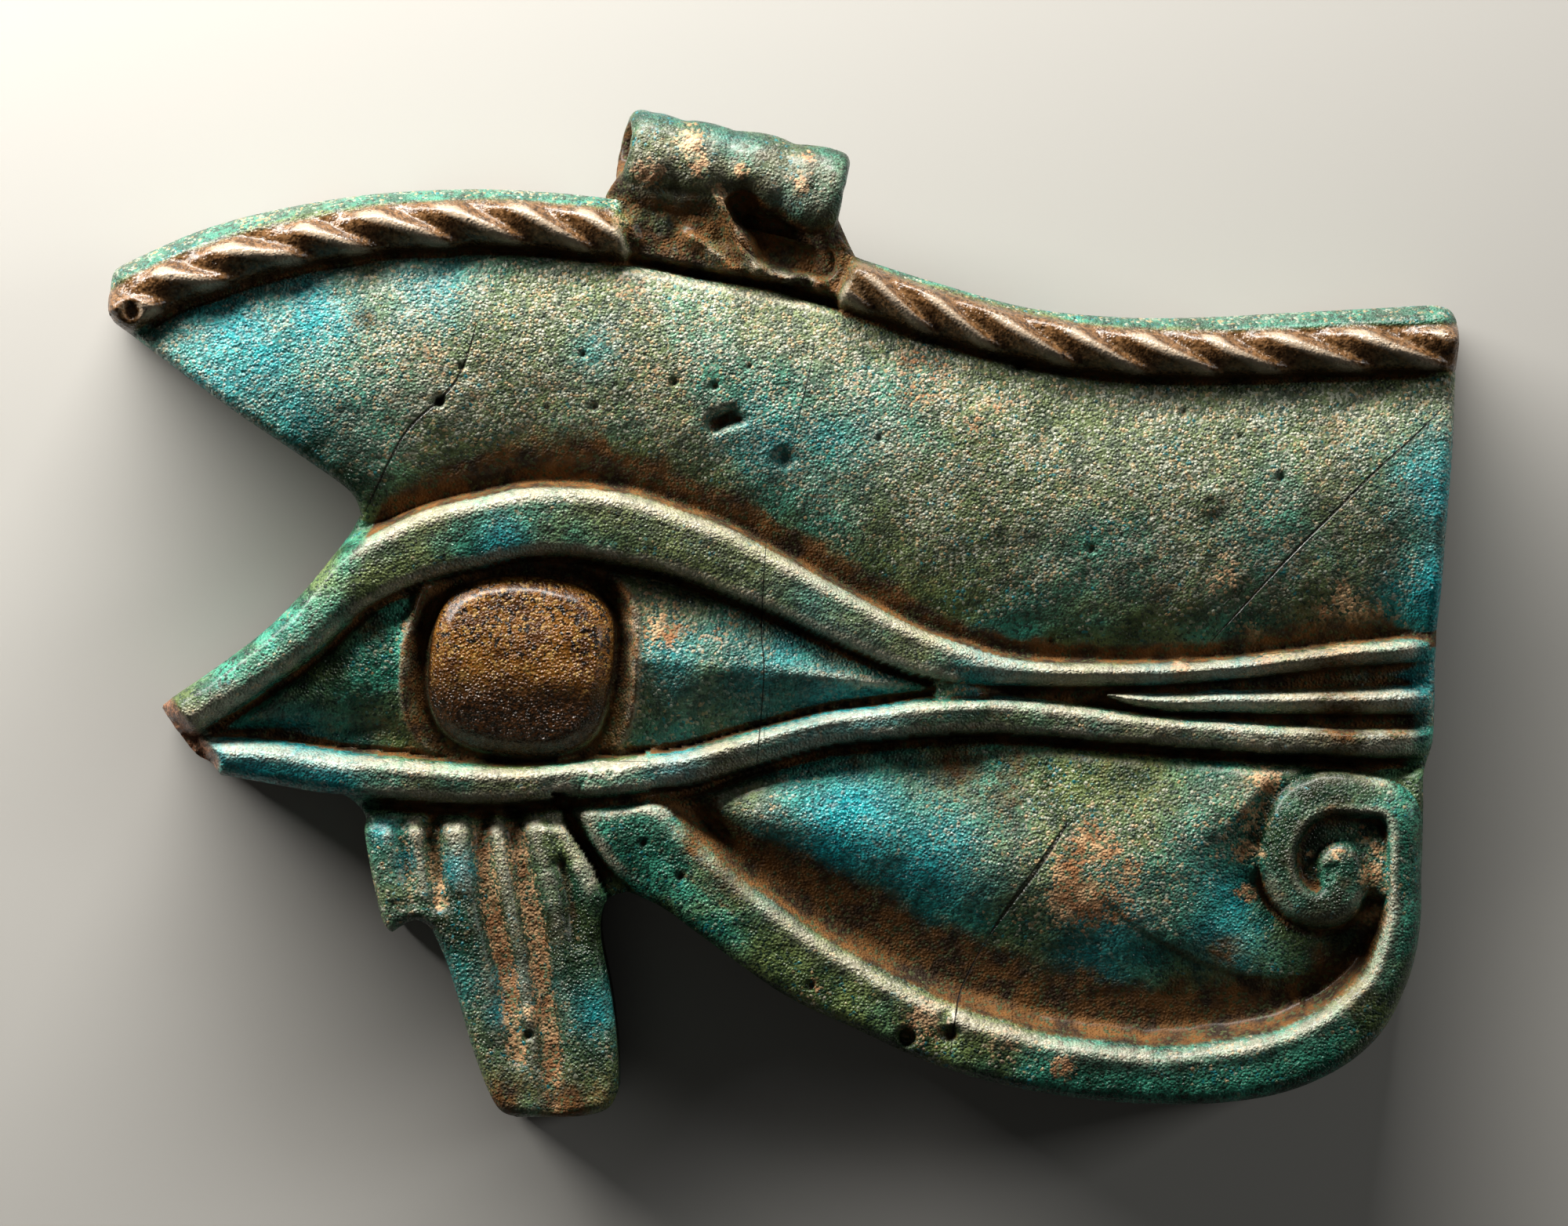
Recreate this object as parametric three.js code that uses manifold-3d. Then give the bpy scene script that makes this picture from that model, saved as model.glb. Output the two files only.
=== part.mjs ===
// Wedjat eye amulet of glazed composition, lying on its flat back.
// A moulded plate carries the raised parts of the eye, each a piece of paste of its own that was
// luted on before firing: lids, cosmetic lines, eyeball, iris, cheek mark, curl, ropes and loop.
// Millimetres. +X is the right of the eye as seen, +Y its top, and +Z points out of the front.
import * as THREE from 'three';
import { mergeVertices } from 'three/addons/utils/BufferGeometryUtils.js';
import Module from 'manifold-3d';

const wasm = await Module();
wasm.setup();

// Driving sizes of the whole amulet
const amuletWidth = 52;
const amuletHeight = 38.93;
const bedHeight = 3.2;
const backChamfer = 0.35;
const jointGap = 0.28;
const overrun = 2;
const outlineSpacing = 1.1;
const bandSpacing = 1.15;
const curlSpacing = 0.75;

// Brow field, cheek field and the rim above the ropes
const valleyRise = 0.3;
const browRise = 1.8;
const cheekRise = 1.55;
const rimWidth = 0.42;
const rimRise = 1.5;

// Twisted ropes along the top of the brow
const ropeWidth = 1.75;
const ropeRise = 2.3;
const strandSpacing = 2.75;
const strandDepth = 0.34;
const ropeEndRun = 0.9;

// Lids and cosmetic lines
const lidWidth = 2.6;
const lidRise = 2.05;
const lowerLidWidth = 1.5;
const lowerLidRise = 1.85;
const lineWidth = 1;
const lineRise = 1.5;

// Eyeball and iris
const eyeballRise = 1.5;
const socketFloor = 0.6;
const socketGap = 0.5;
const irisWidth = 6.9;
const irisHeight = 6.8;
const irisRise = 1.9;

// Curl and its spiral
const curlWidth = 2.6;
const spiralWidth = 1.5;
const coilWidth = 1.1;
const spiralHollow = 5;
const curlRise = 1.75;
const edgeChamfer = 0.35;

// Fluted cheek mark
const markWidth = 9;
const markLength = 12.2;
const markRise = 1.6;
const markDome = 0.12;
const fluteWidth = 0.85;
const fluteDepth = 0.5;

// Suspension loop: a beaded tube on a saddle
const tubeDiameter = 3.3;
const tubeLength = 8.6;
const tubeAxisHeight = 3.65;
const boreDiameter = 1.7;
const beadDepth = 0.12;
const saddleBottom = 1;
const saddleTop = 4.5;
const pocketLength = 3.8;
const pocketWidth = 1.6;
const pocketDepth = 1.3;

// Places in the face of the amulet, as shares of its width and height from the middle
const outlineShares = {
  browTop: [[-0.49, 0.345], [-0.437, 0.376], [-0.378, 0.398], [-0.309, 0.414], [-0.233, 0.419],
    [-0.175, 0.416], [-0.133, 0.411]],
  underLoop: [[-0.133, 0.411], [-0.04, 0.385], [0.053, 0.352]],
  browTopRight: [[0.053, 0.352], [0.116, 0.325], [0.18, 0.302], [0.244, 0.293], [0.302, 0.292],
    [0.384, 0.297], [0.481, 0.304]],
  topCorner: [[0.481, 0.304], [0.493, 0.3], [0.499, 0.289], [0.5, 0.277]],
  rightEdge: [[0.5, 0.277], [0.495, 0.172], [0.49, 0.063], [0.484, -0.038], [0.483, -0.119],
    [0.475, -0.158], [0.474, -0.17]],
  curlOuter: [[0.474, -0.17], [0.474, -0.247], [0.471, -0.317], [0.462, -0.369], [0.442, -0.418],
    [0.407, -0.456], [0.355, -0.481], [0.279, -0.488], [0.192, -0.476], [0.116, -0.45],
    [0.052, -0.412], [0, -0.379], [-0.058, -0.324], [-0.09, -0.293], [-0.117, -0.278]],
  bay: [[-0.117, -0.278], [-0.129, -0.283], [-0.135, -0.298], [-0.136, -0.325], [-0.128, -0.38],
    [-0.124, -0.434], [-0.123, -0.474]],
  markFoot: [[-0.123, -0.474], [-0.131, -0.491], [-0.152, -0.499], [-0.198, -0.5]],
  markLeft: [[-0.198, -0.5], [-0.213, -0.489], [-0.229, -0.438], [-0.248, -0.356], [-0.261, -0.314]],
  barb: [[-0.261, -0.314], [-0.274, -0.305], [-0.291, -0.317]],
  markSide: [[-0.291, -0.317], [-0.298, -0.303], [-0.306, -0.255], [-0.311, -0.218],
    [-0.311, -0.201], [-0.326, -0.181]],
  lowerLidEdge: [[-0.326, -0.181], [-0.349, -0.178], [-0.384, -0.169], [-0.417, -0.161]],
  innerCorner: [[-0.417, -0.161], [-0.426, -0.15], [-0.44, -0.137], [-0.463, -0.094]],
  lidEdge: [[-0.463, -0.094], [-0.419, -0.053], [-0.381, -0.014], [-0.349, 0.031], [-0.326, 0.071],
    [-0.314, 0.098]],
  browLeft: [[-0.314, 0.098], [-0.323, 0.12], [-0.355, 0.152], [-0.408, 0.199], [-0.466, 0.256],
    [-0.496, 0.286]],
  browTip: [[-0.496, 0.286], [-0.5, 0.3], [-0.498, 0.334], [-0.49, 0.345]],
};
const upperLidShares = [[-0.453, -0.108], [-0.408, -0.07], [-0.361, -0.024], [-0.32, 0.028],
  [-0.28, 0.059], [-0.227, 0.08], [-0.163, 0.091], [-0.099, 0.077], [-0.035, 0.046], [0.035, 0.001],
  [0.087, -0.032], [0.128, -0.05], [0.174, -0.059], [0.244, -0.062], [0.325, -0.057],
  [0.407, -0.044], [0.49, -0.035]];
const lowerLidShares = [[-0.432, -0.142], [-0.396, -0.145], [-0.349, -0.154], [-0.291, -0.164],
  [-0.221, -0.17], [-0.152, -0.164], [-0.082, -0.156], [-0.024, -0.135], [0.035, -0.115],
  [0.093, -0.105], [0.145, -0.101], [0.197, -0.106], [0.256, -0.115], [0.325, -0.122],
  [0.407, -0.128], [0.49, -0.129]];
const middleLineShares = [[0.239, -0.082], [0.279, -0.088], [0.325, -0.088], [0.378, -0.088],
  [0.43, -0.086], [0.491, -0.084]];
const curlShares = [[-0.137, -0.169], [-0.117, -0.207], [-0.082, -0.251], [-0.035, -0.299],
  [0.023, -0.354], [0.093, -0.405], [0.174, -0.444], [0.267, -0.462], [0.349, -0.451],
  [0.407, -0.419], [0.445, -0.368], [0.457, -0.309], [0.459, -0.246], [0.457, -0.206],
  [0.445, -0.183], [0.426, -0.177], [0.401, -0.177], [0.381, -0.186], [0.369, -0.209],
  [0.367, -0.239], [0.373, -0.267]];
const coilShares = [[0.367, -0.239], [0.373, -0.267], [0.388, -0.285], [0.407, -0.29],
  [0.421, -0.276], [0.424, -0.251], [0.418, -0.231], [0.405, -0.226]];
const browFieldTopShares = [[-0.51, 0.31], [-0.448, 0.328], [-0.32, 0.374], [-0.175, 0.382],
  [-0.04, 0.35], [0.087, 0.307], [0.203, 0.265], [0.325, 0.255], [0.51, 0.262]];
const browFieldBottomShares = [[-0.51, 0.27], [-0.466, 0.25], [-0.4, 0.18], [-0.335, 0.1],
  [-0.163, 0.091], [-0.035, 0.046], [0.128, -0.05], [0.325, -0.057], [0.51, -0.035]];
const cheekFieldTopShares = [[-0.1, -0.16], [0.035, -0.115], [0.145, -0.101], [0.256, -0.115],
  [0.36, -0.125], [0.43, -0.165]];
const cheekFieldBottomShares = [[-0.12, -0.2], [0.023, -0.355], [0.174, -0.445], [0.267, -0.463],
  [0.4, -0.425], [0.45, -0.34]];
const spiralShare = [0.4, -0.245];
const markTopShare = [-0.234, -0.196];
const irisShare = [-0.1935, -0.0556];
const loopShare = [-0.0372, 0.4387];
const saddleFootShares = [[-0.133, 0.411], [-0.122, 0.387], [-0.1, 0.362], [-0.06, 0.342],
  [-0.015, 0.327], [0.028, 0.315], [0.048, 0.32], [0.056, 0.35], [0.046, 0.37], [0.038, 0.39],
  [-0.036, 0.413], [-0.118, 0.432]];
const saddleCrownShares = [[-0.121, 0.418], [-0.112, 0.4], [-0.089, 0.383], [-0.053, 0.37],
  [-0.015, 0.357], [0.018, 0.347], [0.033, 0.352], [0.037, 0.367], [0.036, 0.38], [0.034, 0.395],
  [-0.036, 0.418], [-0.112, 0.437]];
const pocketShare = [-0.003, 0.361];

// How each band's width runs along it: pairs of a share of its length and a width there
const upperLidWidths = [[0, 0.7 * lidWidth], [0.08, 0.85 * lidWidth], [0.25, lidWidth],
  [0.42, lidWidth], [0.5, 0.85 * lidWidth], [0.6, 0.7 * lidWidth], [0.66, 1.3 * lineWidth],
  [0.75, lineWidth], [1, lineWidth]];
const lowerLidWidths = [[0, 1.15 * lowerLidWidth], [0.2, 1.2 * lowerLidWidth],
  [0.32, 0.95 * lowerLidWidth], [0.55, lowerLidWidth], [0.68, 1.2 * lineWidth], [1, 1.2 * lineWidth]];
const middleLineWidths = [[0, 0.3 * lineWidth], [0.12, 0.75 * lineWidth], [0.9, 0.85 * lineWidth],
  [1, 1.1 * lineWidth]];
const curlWidths = [[0, 1.45 * curlWidth], [0.05, 1.3 * curlWidth], [0.13, 1.07 * curlWidth],
  [0.25, curlWidth], [0.6, curlWidth], [0.7, 0.85 * curlWidth], [0.78, 1.15 * spiralWidth],
  [0.86, 1.25 * spiralWidth], [0.93, spiralWidth], [1, spiralWidth]];
const coilWidths = [[0, spiralWidth], [0.3, 1.45 * spiralWidth], [0.55, 1.2 * coilWidth],
  [1, coilWidth]];
// How far the curl's section reaches on its outer side, in half widths: to the outline and past it
const curlReachShares = [[0, 1], [0.06, 1], [0.14, 1.9], [0.68, 1.9], [0.74, 1], [1, 1]];
const evenReachShares = [[0, 1], [1, 1]];

// Sections of the pieces: shares of the half width across and of the rise up
const lineDomeShares = [[-1, 0], [1, 0], [1, 0.5], [0.8, 0.88], [0.45, 1], [-0.1, 0.92],
  [-0.65, 0.68], [-1, 0.36]];
const upperLidDomeShares = [[-1, 0], [1, 0], [1, 0.62], [0.8, 0.92], [0.4, 1], [-0.1, 0.9],
  [-0.6, 0.66], [-1, 0.32]];
const curlDomeShares = [[-1, 0], [1, 0], [1, 0.5], [0.78, 0.92], [0.4, 1], [-0.2, 0.94],
  [-0.75, 0.8], [-1, 0.55]];
const coilDomeShares = [[-1, 0], [1, 0], [1, 0.5], [0.7, 0.85], [0.25, 0.98], [-0.25, 0.98],
  [-0.7, 0.85], [-1, 0.5]];
const rimShares = [[-1, 0], [1, 0], [1, 0.7], [-0.1, 0.82], [-0.55, 1], [-1, 0.85]];
const browPillowShares = [[0, 0], [0.1, 0], [0.2, 0.25], [0.34, 0.72], [0.5, 0.97], [0.64, 1],
  [0.78, 0.86], [0.9, 0.45], [0.97, 0.1], [1, 0]];
const cheekPillowShares = [[0, 0], [0.14, 0], [0.3, 0.3], [0.5, 0.85], [0.68, 1], [0.82, 0.8],
  [0.92, 0.4], [1, 0.3]];
const eyePillowShares = [[0, 0.35], [0.22, 0.7], [0.42, 0.97], [0.55, 1], [0.75, 0.8], [1, 0.4]];
const irisDomeShares = [[1, 0], [1, 0.6], [0.94, 0.84], [0.78, 0.95], [0.4, 1]];

// A place in the face, from shares
const place = ([across, up]) => new THREE.Vector2(across * amuletWidth, up * amuletHeight);
const route = (shares) => new THREE.SplineCurve(shares.map(place));

// The value at a share of the way through a table of pairs
function valueAt(pairs, share) {
  const next = pairs.findIndex(([start]) => start >= share);
  if (next < 1) return pairs[Math.max(next, 0)][1];
  const [before, low] = pairs[next - 1];
  const [after, high] = pairs[next];
  return THREE.MathUtils.mapLinear(share, before, after, low, high);
}

// The even points of a curve with the direction to its left at each
const fewestRingCount = 3;
function stations(curve, spacing) {
  const count = Math.max(fewestRingCount, Math.round(curve.getLength() / spacing));
  return Array.from({ length: count + 1 }, (_, i) => {
    const share = i / count;
    const forward = curve.getTangentAt(share);
    const left = new THREE.Vector2(-forward.y, forward.x);
    return { share, point: curve.getPointAt(share), forward, left, run: share * curve.getLength() };
  });
}

// A closed body through sections that all have the same number of points
function loft(sections) {
  const count = sections[0].contour.length;
  const points = sections.flatMap(({ contour, set }) => contour.map(set));
  const index = [];
  for (let s = 0; s + 1 < sections.length; s++) {
    for (let i = 0; i < count; i++) {
      const here = s * count + i;
      const next = s * count + ((i + 1) % count);
      index.push(here, next, next + count, here, next + count, here + count);
    }
  }
  const last = (sections.length - 1) * count;
  for (const [a, b, c] of THREE.ShapeUtils.triangulateShape(sections[0].contour, [])) {
    index.push(c, b, a);
  }
  for (const [a, b, c] of THREE.ShapeUtils.triangulateShape(sections.at(-1).contour, [])) {
    index.push(last + a, last + b, last + c);
  }
  const geometry = new THREE.BufferGeometry().setFromPoints(points);
  geometry.setIndex(index);
  return geometry;
}

// A geometry as a solid that can be joined and cut
function solid(geometry) {
  geometry.deleteAttribute('normal');
  geometry.deleteAttribute('uv');
  const merged = mergeVertices(geometry);
  return new wasm.Manifold(new wasm.Mesh({
    numProp: 3,
    vertProperties: new Float32Array(merged.attributes.position.array),
    triVerts: new Uint32Array(merged.index.array),
  }));
}

// A flat contour as an upright prism
const level = (contour, z) => ({ contour, set: (p) => new THREE.Vector3(p.x, p.y, z) });
const prism = (contour, bottom, top) => solid(loft([level(contour, bottom), level(contour, top)]));

// A contour moved outwards by a distance, or inwards where it is negative
const sharpestMitreShare = 0.6;
function grow(contour, distance) {
  return contour.map((point, i) => {
    const before = contour.at(i - 1);
    const after = contour[(i + 1) % contour.length];
    const arriving = point.clone().sub(before).normalize();
    const leaving = after.clone().sub(point).normalize();
    const outward = new THREE.Vector2(arriving.y + leaving.y, -arriving.x - leaving.x).normalize();
    const mitre = Math.max(outward.x * arriving.y - outward.y * arriving.x, sharpestMitreShare);
    return point.clone().addScaledVector(outward, distance / mitre);
  });
}

// A point of a section that stands across a curve
const point3 = (point, left, { x, y }) => new THREE.Vector3(
  point.x + left.x * x, point.y + left.y * x, y);

// A band laid along a curve: its section is given in shares of the half width and the rise
function band(curve, widths, sectionShares, rise, spacing = bandSpacing, reachShares = evenReachShares) {
  return solid(loft(stations(curve, spacing).map(({ share, point, left }) => {
    const half = valueAt(widths, share) / 2;
    const outer = valueAt(reachShares, share);
    const contour = sectionShares.map(([across, up]) => new THREE.Vector2(
      (across < 0 ? across * outer : across) * half, bedHeight + up * rise));
    return { contour, set: (p) => point3(point, left, p) };
  })));
}

// The room that a band takes with its joint, from a given height up
const topClear = bedHeight + ropeRise + overrun;
function room(curve, widths, bottom, spacing = bandSpacing) {
  const even = stations(curve, spacing);
  const first = even[0];
  const last = even.at(-1);
  const ends = [
    { ...first, point: first.point.clone().addScaledVector(first.forward, -jointGap) },
    ...even,
    { ...last, point: last.point.clone().addScaledVector(last.forward, jointGap) },
  ];
  return solid(loft(ends.map(({ share, point, left }) => {
    const half = valueAt(widths, share) / 2 + jointGap;
    const contour = [[-half, bottom], [half, bottom], [half, topClear], [-half, topClear]]
      .map(([x, y]) => new THREE.Vector2(x, y));
    return { contour, set: (p) => point3(point, left, p) };
  })));
}

// A swelling surface between two boundary curves, down to a flat base
function pillow(top, bottom, count, pillowShares, base, edge, rise, endShares) {
  return solid(loft(Array.from({ length: count + 1 }, (_, i) => {
    const share = i / count;
    const from = bottom.getPointAt(share);
    const to = top.getPointAt(share);
    const swell = rise * valueAt(endShares, share);
    const crown = pillowShares.map(([across, up]) => new THREE.Vector2(across, edge + up * swell));
    const contour = [new THREE.Vector2(0, base), new THREE.Vector2(1, base), ...crown.reverse()];
    return { contour, set: (p) => new THREE.Vector3(
      THREE.MathUtils.lerp(from.x, to.x, p.x), THREE.MathUtils.lerp(from.y, to.y, p.x), p.y) };
  })));
}

// Outline of the whole eye, anticlockwise
const stretches = Object.values(outlineShares).map((shares) => {
  const curve = route(shares);
  const count = Math.max(2 * (shares.length - 1), Math.round(curve.getLength() / outlineSpacing));
  return curve.getSpacedPoints(count).slice(0, -1);
});
const outline = stretches.flat().reverse();
const insideOutline = prism(outline, -overrun, topClear);
const curlTop = bedHeight + curlRise;
const insideChamfer = solid(loft([level(outline, -overrun), level(outline, curlTop - edgeChamfer),
  level(grow(outline, -edgeChamfer), curlTop)]));

// Curves of the bands
const upperLidCurve = route(upperLidShares);
const lowerLidCurve = route(lowerLidShares);
const middleLineCurve = route(middleLineShares);
const curlCurve = route(curlShares);
const coilCurve = route(coilShares);

// Rooms that the bands take, from below the bed where pieces are cut and from the bed up in the plate
const bands = [[upperLidCurve, upperLidWidths, bandSpacing], [lowerLidCurve, lowerLidWidths, bandSpacing],
  [middleLineCurve, middleLineWidths, bandSpacing], [curlCurve, curlWidths, curlSpacing],
  [coilCurve, coilWidths, curlSpacing]];
const [upperLidRoom, lowerLidRoom, , curlRoom] = bands.map(
  ([curve, widths, spacing]) => room(curve, widths, bedHeight - overrun, spacing));

const cut = (body, ...tools) => tools.reduce((left, tool) => left.subtract(tool), body);
const join = (body, ...more) => more.reduce((whole, next) => whole.add(next), body);

// Lids with the cosmetic lines that run on from them
function upperLid() {
  return band(upperLidCurve, upperLidWidths, upperLidDomeShares, lidRise).intersect(insideOutline);
}
function lowerLid() {
  return cut(band(lowerLidCurve, lowerLidWidths, lineDomeShares, lowerLidRise).intersect(insideOutline),
    upperLidRoom);
}
function middleLine() {
  return cut(band(middleLineCurve, middleLineWidths, lineDomeShares, lineRise).intersect(insideOutline),
    upperLidRoom, lowerLidRoom);
}

// Curl that sweeps along the lower edge and winds up into a spiral
function curl() {
  const sweep = band(curlCurve, curlWidths, curlDomeShares, curlRise, curlSpacing, curlReachShares);
  const coil = band(coilCurve, coilWidths, coilDomeShares, curlRise, curlSpacing);
  return cut(sweep.add(coil).intersect(insideChamfer), lowerLidRoom);
}

// Fluted mark under the eye: flutes fan slightly and each ends at its own place
// Each flute: share of the width, share of the length where it ends, share of the depth
const fluteShares = [[0.175, 0.3, 0.6], [0.315, 0.34, 1], [0.515, 0.86, 1], [0.665, 0.96, 1],
  [0.85, 0.46, 0.8]];
const fluteStartShare = 0.06;
const fluteFadeShare = 0.07;
const markSlantShare = 0.17;
const markEdgeShare = 0.75;
const markRingCount = 22;
function cheekMark() {
  const start = place(markTopShare);
  const topAt = (x) => markRise - markDome * (2 * x / markWidth) ** 2;
  const sections = Array.from({ length: markRingCount + 1 }, (_, i) => {
    const along = i / markRingCount;
    const crown = [[-markWidth / 2, markEdgeShare * markRise]];
    for (const [across, end, depth] of fluteShares) {
      const middle = (across - 0.5) * markWidth;
      const fade = Math.min((along - fluteStartShare) / fluteFadeShare, (end - along) / fluteFadeShare);
      const drop = fluteDepth * depth * THREE.MathUtils.clamp(fade, 0, 1);
      const [before, after] = [middle - fluteWidth / 2, middle + fluteWidth / 2];
      crown.push([before, topAt(before)], [middle, topAt(middle) - drop], [after, topAt(after)]);
    }
    crown.push([markWidth / 2, markEdgeShare * markRise]);
    const contour = [[-markWidth / 2, 0], [markWidth / 2, 0], ...crown.reverse()]
      .map(([x, y]) => new THREE.Vector2(x, bedHeight + y));
    const run = along * markLength;
    return { contour, set: (p) => new THREE.Vector3(
      start.x + p.x + markSlantShare * run, start.y - run, p.y) };
  });
  return cut(solid(loft(sections)).intersect(insideOutline), lowerLidRoom, curlRoom);
}

// Iris: a rounded square inlay of dark paste with a low dome
const irisTurn = THREE.MathUtils.degToRad(-4);
const irisSquareShare = 0.67;
const irisSideCount = 32;
function irisContour(margin) {
  const centre = place(irisShare);
  const round = (value) => Math.sign(value) * Math.abs(value) ** irisSquareShare;
  return Array.from({ length: irisSideCount }, (_, i) => {
    const angle = 2 * Math.PI * i / irisSideCount;
    return new THREE.Vector2(
      (irisWidth / 2 + margin) * round(Math.cos(angle)),
      (irisHeight / 2 + margin) * round(Math.sin(angle)),
    ).rotateAround(new THREE.Vector2(), irisTurn).add(centre);
  });
}
function iris() {
  const centre = place(irisShare);
  const seat = bedHeight + socketFloor;
  const rings = irisDomeShares.map(([size, up]) => level(
    irisContour(0).map((point) => point.sub(centre).multiplyScalar(size).add(centre)),
    seat + up * (irisRise - socketFloor)));
  return cut(solid(loft(rings)), upperLidRoom, lowerLidRoom);
}

// Eyeball: a swelling almond between the lids with a socket for the iris
const eyeEndShares = [[0, 0.25], [0.12, 0.75], [0.3, 1], [0.7, 0.95], [0.9, 0.7], [1, 0.3]];
const eyeSpanShares = [[0.02, 0.645], [0.02, 0.605]];
const eyeRingCount = 22;
function eyeball() {
  const part = (curve, [from, to]) => new THREE.SplineCurve(Array.from({ length: eyeRingCount + 1 },
    (_, i) => curve.getPointAt(THREE.MathUtils.lerp(from, to, i / eyeRingCount))));
  const whole = pillow(part(upperLidCurve, eyeSpanShares[0]), part(lowerLidCurve, eyeSpanShares[1]),
    eyeRingCount, eyePillowShares, bedHeight, bedHeight, eyeballRise, eyeEndShares);
  const socket = prism(irisContour(socketGap), bedHeight + socketFloor, topClear);
  return cut(whole.intersect(insideOutline), upperLidRoom, lowerLidRoom, socket);
}

// Suspension loop: a tube of four soft beads on a saddle that sits on the bed at the top edge
const loopTilt = THREE.MathUtils.degToRad(-11.7);
const pocketTilt = THREE.MathUtils.degToRad(-34);
const beadShares = [0, 0.24, 0.47, 0.74, 1];
const mouthRoundShare = 0.12;
const beadRingCount = 6;
const tubeSideCount = 28;
const boreSideCount = 20;
const pocketSideCounts = [14, 8];
function tube() {
  const profile = beadShares.slice(1).flatMap((to, bead) => {
    const from = beadShares[bead];
    return Array.from({ length: beadRingCount }, (_, i) => {
      const swell = Math.sqrt(Math.sin(Math.PI * i / beadRingCount));
      const share = THREE.MathUtils.lerp(from, to, i / beadRingCount);
      return new THREE.Vector2(tubeDiameter / 2 - beadDepth * (1 - swell), (share - 0.5) * tubeLength);
    });
  });
  const mouthRound = mouthRoundShare * tubeDiameter / 2;
  const mouth = (end) => new THREE.Vector2(
    tubeDiameter / 2 - beadDepth - mouthRound, end * (tubeLength / 2));
  profile[0].y += mouthRound;
  profile.push(new THREE.Vector2(tubeDiameter / 2 - beadDepth, tubeLength / 2 - mouthRound));
  const closed = [new THREE.Vector2(0, -tubeLength / 2), mouth(-1), ...profile, mouth(1),
    new THREE.Vector2(0, tubeLength / 2)];
  return new THREE.LatheGeometry(closed, tubeSideCount);
}
// Lays a body made round the Y axis along the loop
function alongLoop(geometry) {
  const centre = place(loopShare);
  return solid(geometry.rotateZ(-Math.PI / 2).rotateZ(loopTilt)
    .translate(centre.x, centre.y, tubeAxisHeight));
}
const saddleSideCount = 36;
const around = (shares) => route([...shares, shares[0]]).getPoints(saddleSideCount).slice(0, -1);
const saddleFoot = around(saddleFootShares);
const saddleCrown = around(saddleCrownShares);
function suspensionLoop() {
  const saddle = solid(loft([level(saddleFoot, saddleBottom),
    level(saddleFoot, bedHeight + valleyRise), level(saddleCrown, saddleTop)]));
  const bore = new THREE.CylinderGeometry(
    boreDiameter / 2, boreDiameter / 2, tubeLength + overrun, boreSideCount);
  const pocket = new THREE.SphereGeometry(1, ...pocketSideCounts)
    .scale(pocketLength / 2, pocketWidth / 2, pocketDepth).rotateZ(pocketTilt);
  const middle = place(pocketShare);
  pocket.translate(middle.x, middle.y, saddleTop);
  const underPlate = prism(grow(outline, jointGap), -overrun, bedHeight);
  return cut(alongLoop(tube()).add(saddle), alongLoop(bore), solid(pocket), underPlate);
}
// The room that the loop takes on the plate
function loopRoom(bottom) {
  const foot = prism(grow(saddleFoot, jointGap), bottom, topClear);
  const side = tubeDiameter + 2 * jointGap;
  const box = new THREE.BoxGeometry(side, tubeLength + 2 * jointGap, 2 * (topClear - bottom));
  const centre = place(loopShare);
  box.rotateZ(-Math.PI / 2).rotateZ(loopTilt).translate(centre.x, centre.y, topClear);
  return foot.add(solid(box));
}

// Ropes: a stilted round cord with strands that wind across it, inside the rim of the brow
const ropeInset = rimWidth + jointGap + ropeWidth / 2;
const ropeSideCount = 9;
const strandRingCount = 8;
const strandTurnShare = 0.5;
function ropeCurve(shares) {
  const edge = stations(route(shares), outlineSpacing);
  const points = edge.map(({ point, left }) => point.clone().addScaledVector(left, -ropeInset));
  const first = points[0].clone().addScaledVector(edge[0].forward, -ropeEndRun);
  const last = points.at(-1).clone().addScaledVector(edge.at(-1).forward, ropeEndRun);
  return new THREE.SplineCurve([first, ...points, last]);
}
function rope(shares) {
  const radius = ropeWidth / 2;
  const stilt = ropeRise - radius;
  const sections = stations(ropeCurve(shares), strandSpacing / strandRingCount).map(
    ({ point, left, run }) => {
      const crown = Array.from({ length: ropeSideCount }, (_, i) => {
        const angle = Math.PI * i / (ropeSideCount - 1);
        const turn = run / strandSpacing + strandTurnShare * Math.cos(angle);
        const reach = radius - strandDepth * (1 - Math.abs(Math.sin(Math.PI * turn)));
        return new THREE.Vector2(reach * Math.cos(angle), bedHeight + stilt + reach * Math.sin(angle));
      });
      const contour = [new THREE.Vector2(-radius + strandDepth, bedHeight),
        new THREE.Vector2(radius - strandDepth, bedHeight), ...crown];
      return { contour, set: (p) => point3(point, left, p) };
    });
  return cut(solid(loft(sections)).intersect(insideOutline), loopRoom(bedHeight - overrun));
}

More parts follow.
